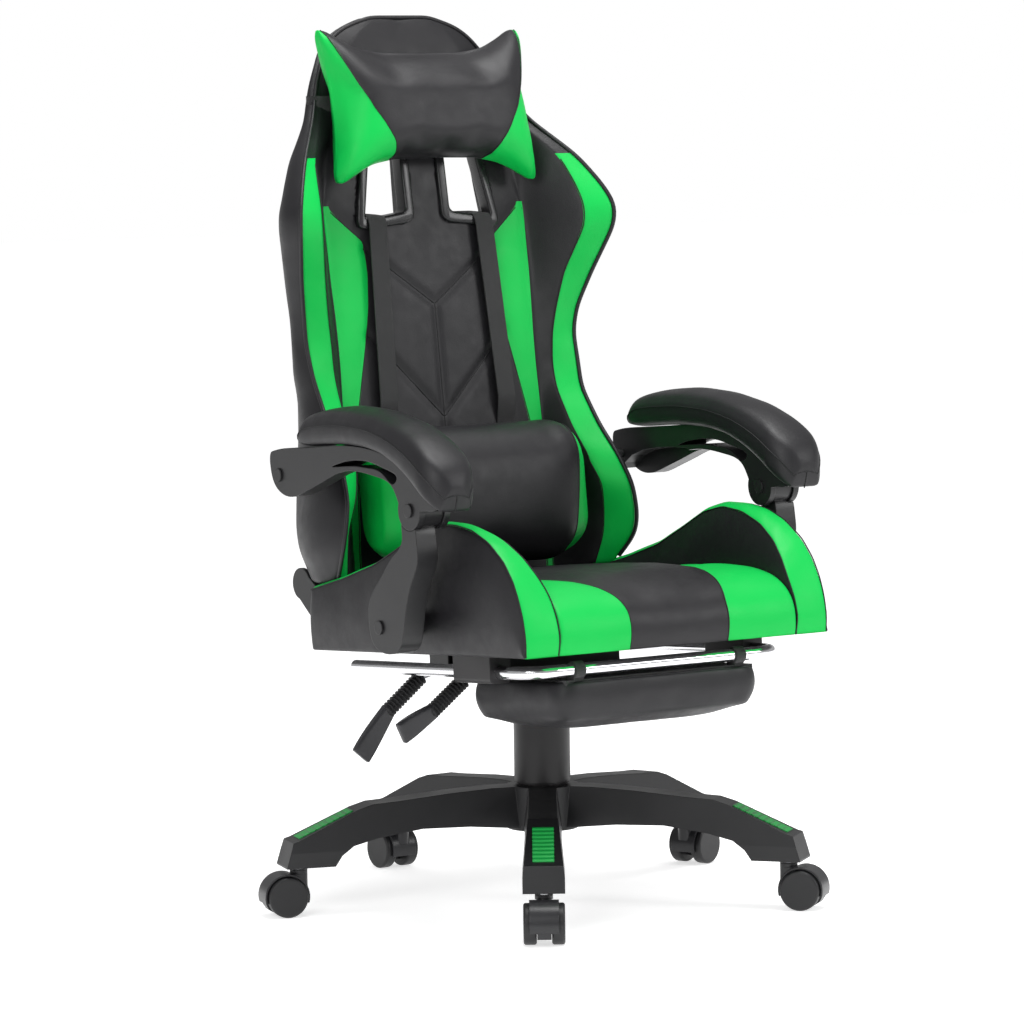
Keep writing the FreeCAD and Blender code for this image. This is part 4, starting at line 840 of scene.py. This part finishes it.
def opening_block(name, side, grow, front_line, rear_line, corner, flare=0.0):
    """A prism through the back in the opening's outline, its four long edges rounded."""
    bpy.ops.object.select_all(action="DESELECT")
    bpy.ops.mesh.primitive_cube_add(size=2)
    block = bpy.context.active_object
    block.name = name
    corner_order = [(-1, -1), (1, -1), (1, 1), (-1, 1)]
    front_outline = dict(zip(corner_order, opening_outline(grow)))
    rear_outline = dict(zip(corner_order, opening_outline(grow + flare)))
    places = []
    for spot in block.data.vertices:
        outline = front_outline if spot.co.y < 0 else rear_outline
        x, z = outline[(round(spot.co.x), round(spot.co.z))]
        places.append((x * side, float(front_line(z)) if spot.co.y < 0 else float(rear_line(z)), z))
    put_corners(block, places)
    bpy.ops.object.mode_set(mode="EDIT")
    bpy.ops.mesh.select_all(action="SELECT")
    bpy.ops.mesh.normals_make_consistent(inside=False)
    bpy.ops.mesh.select_all(action="DESELECT")
    bpy.ops.object.mode_set(mode="OBJECT")
    for edge in block.data.edges:
        ends = [block.data.vertices[number].co for number in edge.vertices]
        edge.select = hypot(ends[0].x - ends[1].x, ends[0].z - ends[1].z) < 0.03
    bpy.ops.object.mode_set(mode="EDIT")
    bpy.ops.mesh.select_mode(type="EDGE")
    bpy.ops.mesh.bevel(offset=corner, segments=5)
    bpy.ops.object.mode_set(mode="OBJECT")
    return block


for side in (-1, 1):
    cutter = opening_block("cutter", side, rim_wall - 0.002, lambda z: 0.235, lambda z: 0.335, 0.013, 0.012)
    window = back.modifiers.new("window", "BOOLEAN")
    window.operation = "DIFFERENCE"
    window.solver = "EXACT"
    window.object = cutter
    bpy.context.view_layer.objects.active = back
    bpy.ops.object.modifier_apply(modifier="window")
    bpy.data.objects.remove(cutter)
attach(back, "back")
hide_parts("back_cushion", "back_head_cushion", "back_wing_left", "back_wing_right")

# ---------------------------------------------------------------- back seams
# A piping closes the cover's edge, thin seams join its panels, and the quilting shows its thread.
heights = np.linspace(0.412, 1.104, 150)
run = [(-edge_x_at(z), edge_y_at(z), z) for z in heights]
run += [(x, 0.304, 1.1145) for x in np.linspace(-0.045, 0.045, 12)]
run += [(edge_x_at(z), edge_y_at(z), z) for z in heights[::-1]]
welt("back_piping", smooth_run(run, 330), 0.0055, black_leather, "back")
for side in (-1, 1):
    label = "left" if side > 0 else "right"
    for seam, number, top in (("panel", 1, 0.872), ("valley", 2, 0.868), ("strip", 3, 0.930)):
        line = is_front & (step == BACK_STEPS[number]) & (np.sign(unit[:, 0]) == side) & (level_z < top)
        ordered = seam_places[line][np.argsort(level_z[line])]
        welt("back_seam_" + seam + "_" + label, list(ordered), 0.0015, seam_thread, "back")
for label, line in quilting.items():
    starts = [(x, -0.2, z) for x, z in smooth_run(line, 60, 0)]
    welt("back_quilting_" + label, on_surface(back, starts, (0, 1, 0), 0.0), 0.0016, seam_thread, "back")

# ---------------------------------------------------------------- harness rims and belts
# Glossy moulded frames line the two openings. Flat woven belts come out of them, hang in front of
# the back and pass behind the lumbar pillow.
arm_plastic = moulded_plastic("arm_plastic", (0.014, 0.014, 0.015), 0.36)
rim_plastic = moulded_plastic("rim_plastic", (0.012, 0.012, 0.013), 0.26, 900.0, 0.00004)
for side in (-1, 1):
    label = "left" if side > 0 else "right"
    rim = opening_block("harness_rim_" + label, side, rim_wall, lambda z: middle_at(z) - 0.011,
                        lambda z: middle_at(z) + 0.012, 0.013)
    hollow = opening_block("hollow", side, 0, lambda z: 0.15, lambda z: 0.42, 0.007)
    window = rim.modifiers.new("window", "BOOLEAN")
    window.operation = "DIFFERENCE"
    window.solver = "EXACT"
    window.object = hollow
    edges = rim.modifiers.new("edges", "BEVEL")
    edges.width = 0.0028
    edges.segments = 3
    edges.limit_method = "ANGLE"
    edges.angle_limit = radians(50)
    bpy.ops.object.select_all(action="DESELECT")
    rim.select_set(True)
    bpy.context.view_layer.objects.active = rim
    bpy.ops.object.modifier_apply(modifier="window")
    bpy.ops.object.modifier_apply(modifier="edges")
    bpy.data.objects.remove(hollow)
    bpy.ops.object.shade_smooth_by_angle(angle=radians(40))
    fill_slots(rim, rim_plastic)
    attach(rim, "back")
    if side < 0:
        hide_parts("harness_rims")

belt_webbing = woven("belt_webbing", (0.010, 0.010, 0.011), 0.0016)


def ribbon(name, middle_line, across, thickness):
    """A flat band along a line of points: across gives half its width as a vector at each point."""
    bpy.ops.object.select_all(action="DESELECT")
    bpy.ops.mesh.primitive_grid_add(x_subdivisions=2, y_subdivisions=len(middle_line) - 1, size=2)
    band = bpy.context.active_object
    band.name = name
    unit = corners_of(band)
    row = np.rint((unit[:, 1] + 1) / 2 * (len(middle_line) - 1)).astype(int)
    put_corners(band, np.asarray(middle_line)[row] + np.asarray(across)[row] * unit[:, :1])
    body = band.modifiers.new("body", "SOLIDIFY")
    body.thickness = thickness
    body.offset = 0
    bpy.ops.object.modifier_apply(modifier="body")
    bpy.ops.object.mode_set(mode="EDIT")
    bpy.ops.mesh.select_all(action="SELECT")
    bpy.ops.mesh.normals_make_consistent(inside=False)
    bpy.ops.object.mode_set(mode="OBJECT")
    bpy.ops.object.shade_smooth_by_angle(angle=radians(50))
    fill_slots(band, belt_webbing)
    return band


for side in (-1, 1):
    label = "left" if side > 0 else "right"
    behind = on_surface(back, [(side * 0.0915, -0.2, z) for z in np.linspace(0.590, 0.500, 10)], (0, 1, 0), -0.0016)
    corner_run = [(side * 0.081, 0.287, 0.8615), (side * 0.081, 0.260, 0.8605), (side * 0.081, 0.2395, 0.8590),
                  (side * 0.0815, 0.2345, 0.850), (side * 0.082, 0.2335, 0.842)]
    belt_line = smooth_run(corner_run + [(side * 0.0905, 0.2005, 0.622), (side * 0.091, 0.203, 0.604)]
                           + [tuple(place) for place in behind], 150, 3)
    belt = ribbon("harness_belt_" + label, belt_line, [(0.013, 0, 0)] * 150, 0.0018)
    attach(belt, "back")
    if side < 0:
        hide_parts("harness_straps")

# ---------------------------------------------------------------- head pillow band
# An elastic band runs snugly round the rear of the head section to the pillow's ends.
band_level = 1.004
rays = [((x, 0.20), (0, 1)) for x in np.linspace(0.118, 0.136, 4)]
rays += [((0.128 + 0.2 * sin(turn), 0.298 - 0.2 * cos(turn)), (-sin(turn), cos(turn)))
         for turn in np.linspace(0.25, 2.9, 22)]
rays += [((x, 0.45), (0, -1)) for x in np.linspace(0.12, 0, 10)]
band_line = []
for start, direction in rays:
    band_line += on_surface(back, [(*start, band_level)], (*direction, 0), -0.0014)
band_line = [tuple(place) for place in band_line]
band_line += [(-x, y, z) for x, y, z in band_line[-2::-1]]
head_band = ribbon("head_pillow_band", smooth_run(band_line, 140, 2), [(0, 0, 0.010)] * 140, 0.0014)
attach(head_band, "back")
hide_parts("head_pillow_strap")

# ---------------------------------------------------------------- lumbar pillow
# A loose roll of foam in black leather with green ends, held by the belts.
lumbar_low, lumbar_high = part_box("lumbar_pillow")
lumbar_half = lumbar_high.x
lumbar = padded_block("lumbar_pillow_cover", (48, 14, 22))
unit = corners_of(lumbar)
a, b, c = unit.T
mid_height = (lumbar_low.z + lumbar_high.z) / 2
half_height = (lumbar_high.z - lumbar_low.z) / 2 - 0.005
half_depth = 0.051
LUMBAR_SEAM = 0.875                            # where the green end panels start
u, v = round_edges(b * half_depth, c * half_height, half_depth, half_height, 0.047)
dome = np.clip((np.abs(a) - 0.70) / 0.30, 0, 1)
taper = np.sqrt(1 - 0.72 * dome ** 2.6)
seam_at = LUMBAR_SEAM - 0.14 * ((1 - c) / 2) ** 2
share = np.abs(a)
share = np.where(share < LUMBAR_SEAM, share / LUMBAR_SEAM * seam_at,
                 seam_at + (share - LUMBAR_SEAM) / (1 - LUMBAR_SEAM) * (1 - seam_at))
x = share * np.sign(a) * (lumbar_half + 0.006)
z = mid_height + v * (0.35 + 0.65 * taper)
y = middle_at(z) - 0.006 - half_depth + u * taper
put_corners(lumbar, np.column_stack([x, y, z]))
seam_ring = np.abs(np.abs(a) - LUMBAR_SEAM) < 0.001
lumbar_sewn = seam_ring | ((np.abs(a) > 0.99) & ((np.abs(b) > 0.99) | (np.abs(c) > 0.99)))
inflate(lumbar, lumbar_sewn, 4.0, 0.008, 0.01, 10)
places = corners_of(lumbar)
places[:, 1] = np.minimum(places[:, 1], middle_at(places[:, 2]) - 0.0060)
put_corners(lumbar, places)
centre_unit = face_centres(lumbar, unit)
colour_faces(lumbar, [black_leather, green_leather], np.abs(centre_unit[:, 0]) > LUMBAR_SEAM)
for side in (-1, 1):
    label = "left" if side > 0 else "right"
    ring = seam_ring & (np.sign(a) == side) & ((np.abs(b) > 0.99) | (np.abs(c) > 0.99))
    around = np.arctan2(c[ring], b[ring])
    welt("lumbar_seam_" + label, list(places[ring][np.argsort(around)]), 0.0018, seam_thread, "lumbar_pillow",
         closed=True)
smooth_finish(lumbar)
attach(lumbar, "lumbar_pillow")
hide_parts("lumbar_pillow")

# ---------------------------------------------------------------- head pillow
# A bow-shaped neck pillow: black middle, green ends, its four corners drawn out to points, held
# by an elastic band round the top of the back.
head_low, head_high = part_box("head_pillow")
head_mid = (head_low.z + head_high.z) / 2
HEAD_MIDDLE = 14
HEAD_END = 8
head = padded_block("head_pillow_cover", (2 * (HEAD_MIDDLE + HEAD_END), 6, 26))
unit = corners_of(head)
a, b, c = unit.T
half = head_high.x + 0.008
line = np.interp(c, [-1, -0.6, -0.2, 0.3, 0.7, 1], [0.46, 0.52, 0.63, 0.80, 0.91, 0.965])
step = np.abs(a) * (HEAD_MIDDLE + HEAD_END)
share = np.where(step <= HEAD_MIDDLE, step / HEAD_MIDDLE * line,
                 line + (step - HEAD_MIDDLE) / HEAD_END * (1 - line))
tall = flow([0, 0.40, 0.62, 0.80, 0.93, 1.0], [0.066, 0.067, 0.073, 0.086, 0.098, 0.100], 20)(share)
waist = 1 - 0.075 * (1 - np.abs(c) ** 2) * share ** 5
x = half * share * waist
rise = c * tall
x, rise = round_edges(x, rise, half, 0.100, 0.016)
x = x * np.sign(a)
z = head_mid + rise + np.where(c > 0, 0.002, 0)
puff = 0.005 + 0.036 * ((1 - share ** 5) * (1 - np.abs(c) ** 4.5)) ** 0.55
seam_plane = middle_at(np.clip(z, 0.9, 1.1)) - 0.037
y = seam_plane + puff * np.where(b > 0, 0.82, 1.0) * b
put_corners(head, np.column_stack([x, y, z]))
head_sewn = ((np.abs(a) > 0.99) | (np.abs(c) > 0.99)) & (np.abs(b) < 0.5)
inflate(head, head_sewn, 5.0, 0.010, 0.03, 5)
places = corners_of(head)
limit = np.minimum(back_front(places[:, 0], np.clip(places[:, 2], 0.9, 1.1)), middle_at(places[:, 2])) - 0.0045
places[:, 1] = np.minimum(places[:, 1], limit)
put_corners(head, places)
centre_step = face_centres(head, np.rint(step))
colour_faces(head, [black_leather, green_leather], centre_step > HEAD_MIDDLE)
on_front = b < -0.99
for side in (-1, 1):
    label = "left" if side > 0 else "right"
    line = on_front & (np.rint(step) == HEAD_MIDDLE) & (np.sign(a) == side)
    welt("head_pillow_seam_" + label, list(places[line][np.argsort(c[line])]), 0.0015, seam_thread, "head_pillow")
smooth_finish(head)
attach(head, "head_pillow")
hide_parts("head_pillow")

# ---------------------------------------------------------------- armrests
# A moulded channel with a long slot, a moulded link down to the seat, and a leather-covered pad
# that folds down over the front end.
for name in ("left", "right"):
    fill_slots(nodes["armrest_shell_" + name], arm_plastic)
    fill_slots(nodes["arm_upright_" + name], arm_plastic)

pad_top = [(0.112, 0.590), (0.112, 0.603), (0.104, 0.6145), (0.085, 0.6195), (0.055, 0.6235), (0, 0.6265),
           (-0.06, 0.6235), (-0.115, 0.613), (-0.158, 0.598), (-0.190, 0.580), (-0.208, 0.562), (-0.2125, 0.543)]
pad_low = [(0.112, 0.584), (0.108, 0.582), (0.098, 0.582), (0.085, 0.582), (0.05, 0.585), (0, 0.588), (-0.05, 0.5865),
           (-0.09, 0.580), (-0.125, 0.567), (-0.155, 0.551), (-0.184, 0.531), (-0.206, 0.5165)]
pad_tip = -0.2135
pad_toe = 0.011                                # the rear end of the pad stands this much further in
for side, name in ((1, "left"), (-1, "right")):
    pad_low_corner, pad_high_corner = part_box("armrest_pad_" + name)
    pad_mid_x = (pad_low_corner.x + pad_high_corner.x) / 2
    pad_half = (pad_high_corner.x - pad_low_corner.x) / 2 - 0.005
    pad = padded_block("armrest_pad_cover_" + name, (12, 52, 6))
    unit = corners_of(pad)
    a, b, c = unit.T
    along = (1 - b) / 2
    upper = smooth_run(pad_top, 53, 3)
    lower = smooth_run(pad_low, 53, 3)
    place_top = np.column_stack([np.interp(along * 52, range(53), upper[:, k]) for k in (0, 1)])
    place_low = np.column_stack([np.interp(along * 52, range(53), lower[:, k]) for k in (0, 1)])
    u, v = round_edges(a * pad_half, c * 0.018, pad_half, 0.018, 0.013)
    rise = (v / 0.018 + 1) / 2
    yz = place_low + (place_top - place_low) * rise[:, None]
    nose = np.clip(pad_tip + 0.038 - yz[:, 0], 0, 0.0379)
    width = (0.005 + np.sqrt(0.038 ** 2 - nose ** 2)) / 0.043 * np.interp(along, [0, 0.03, 0.08], [0.80, 0.95, 1.0])
    crown = (0.005 * (1 - a ** 2) - 0.002 * np.abs(a) ** 3) * rise
    toe = side * pad_toe * np.clip((yz[:, 0] - pad_tip) / 0.32, 0, 1)
    put_corners(pad, np.column_stack([pad_mid_x - toe + u * width, yz[:, 0], yz[:, 1] + crown]))
    bpy.ops.object.mode_set(mode="EDIT")
    bpy.ops.mesh.select_all(action="SELECT")
    bpy.ops.mesh.normals_make_consistent(inside=False)
    bpy.ops.object.mode_set(mode="OBJECT")
    seam_row = np.abs(c - 1 / 3) < 0.01
    inflate(pad, (c < -0.99) | (seam_row & (np.abs(a) > 0.99)), 4.0, 0.004, 0.01, 10)
    fill_slots(pad, black_leather)
    places = corners_of(pad)
    run = []
    for wanted, order in ((-1, 1), (1, -1)):
        line = seam_row & (np.abs(a - wanted) < 0.01)
        run += list(places[line][np.argsort(along[line] * order)])
        if wanted < 0:
            front_line = seam_row & (b < -0.99) & (np.abs(a) < 0.99)
            run += list(places[front_line][np.argsort(a[front_line])])
    welt("armrest_pad_seam_" + name, run, 0.0015, seam_thread, "armrest_" + name)
    down = (np.abs(a) < 0.01) & (b < -0.99) & (c < 0.34)
    welt("armrest_pad_nose_seam_" + name, list(places[down][np.argsort(c[down])]), 0.0015, seam_thread,
         "armrest_" + name)
    smooth_finish(pad)
    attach(pad, "armrest_" + name)
    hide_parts("armrest_pad_" + name)
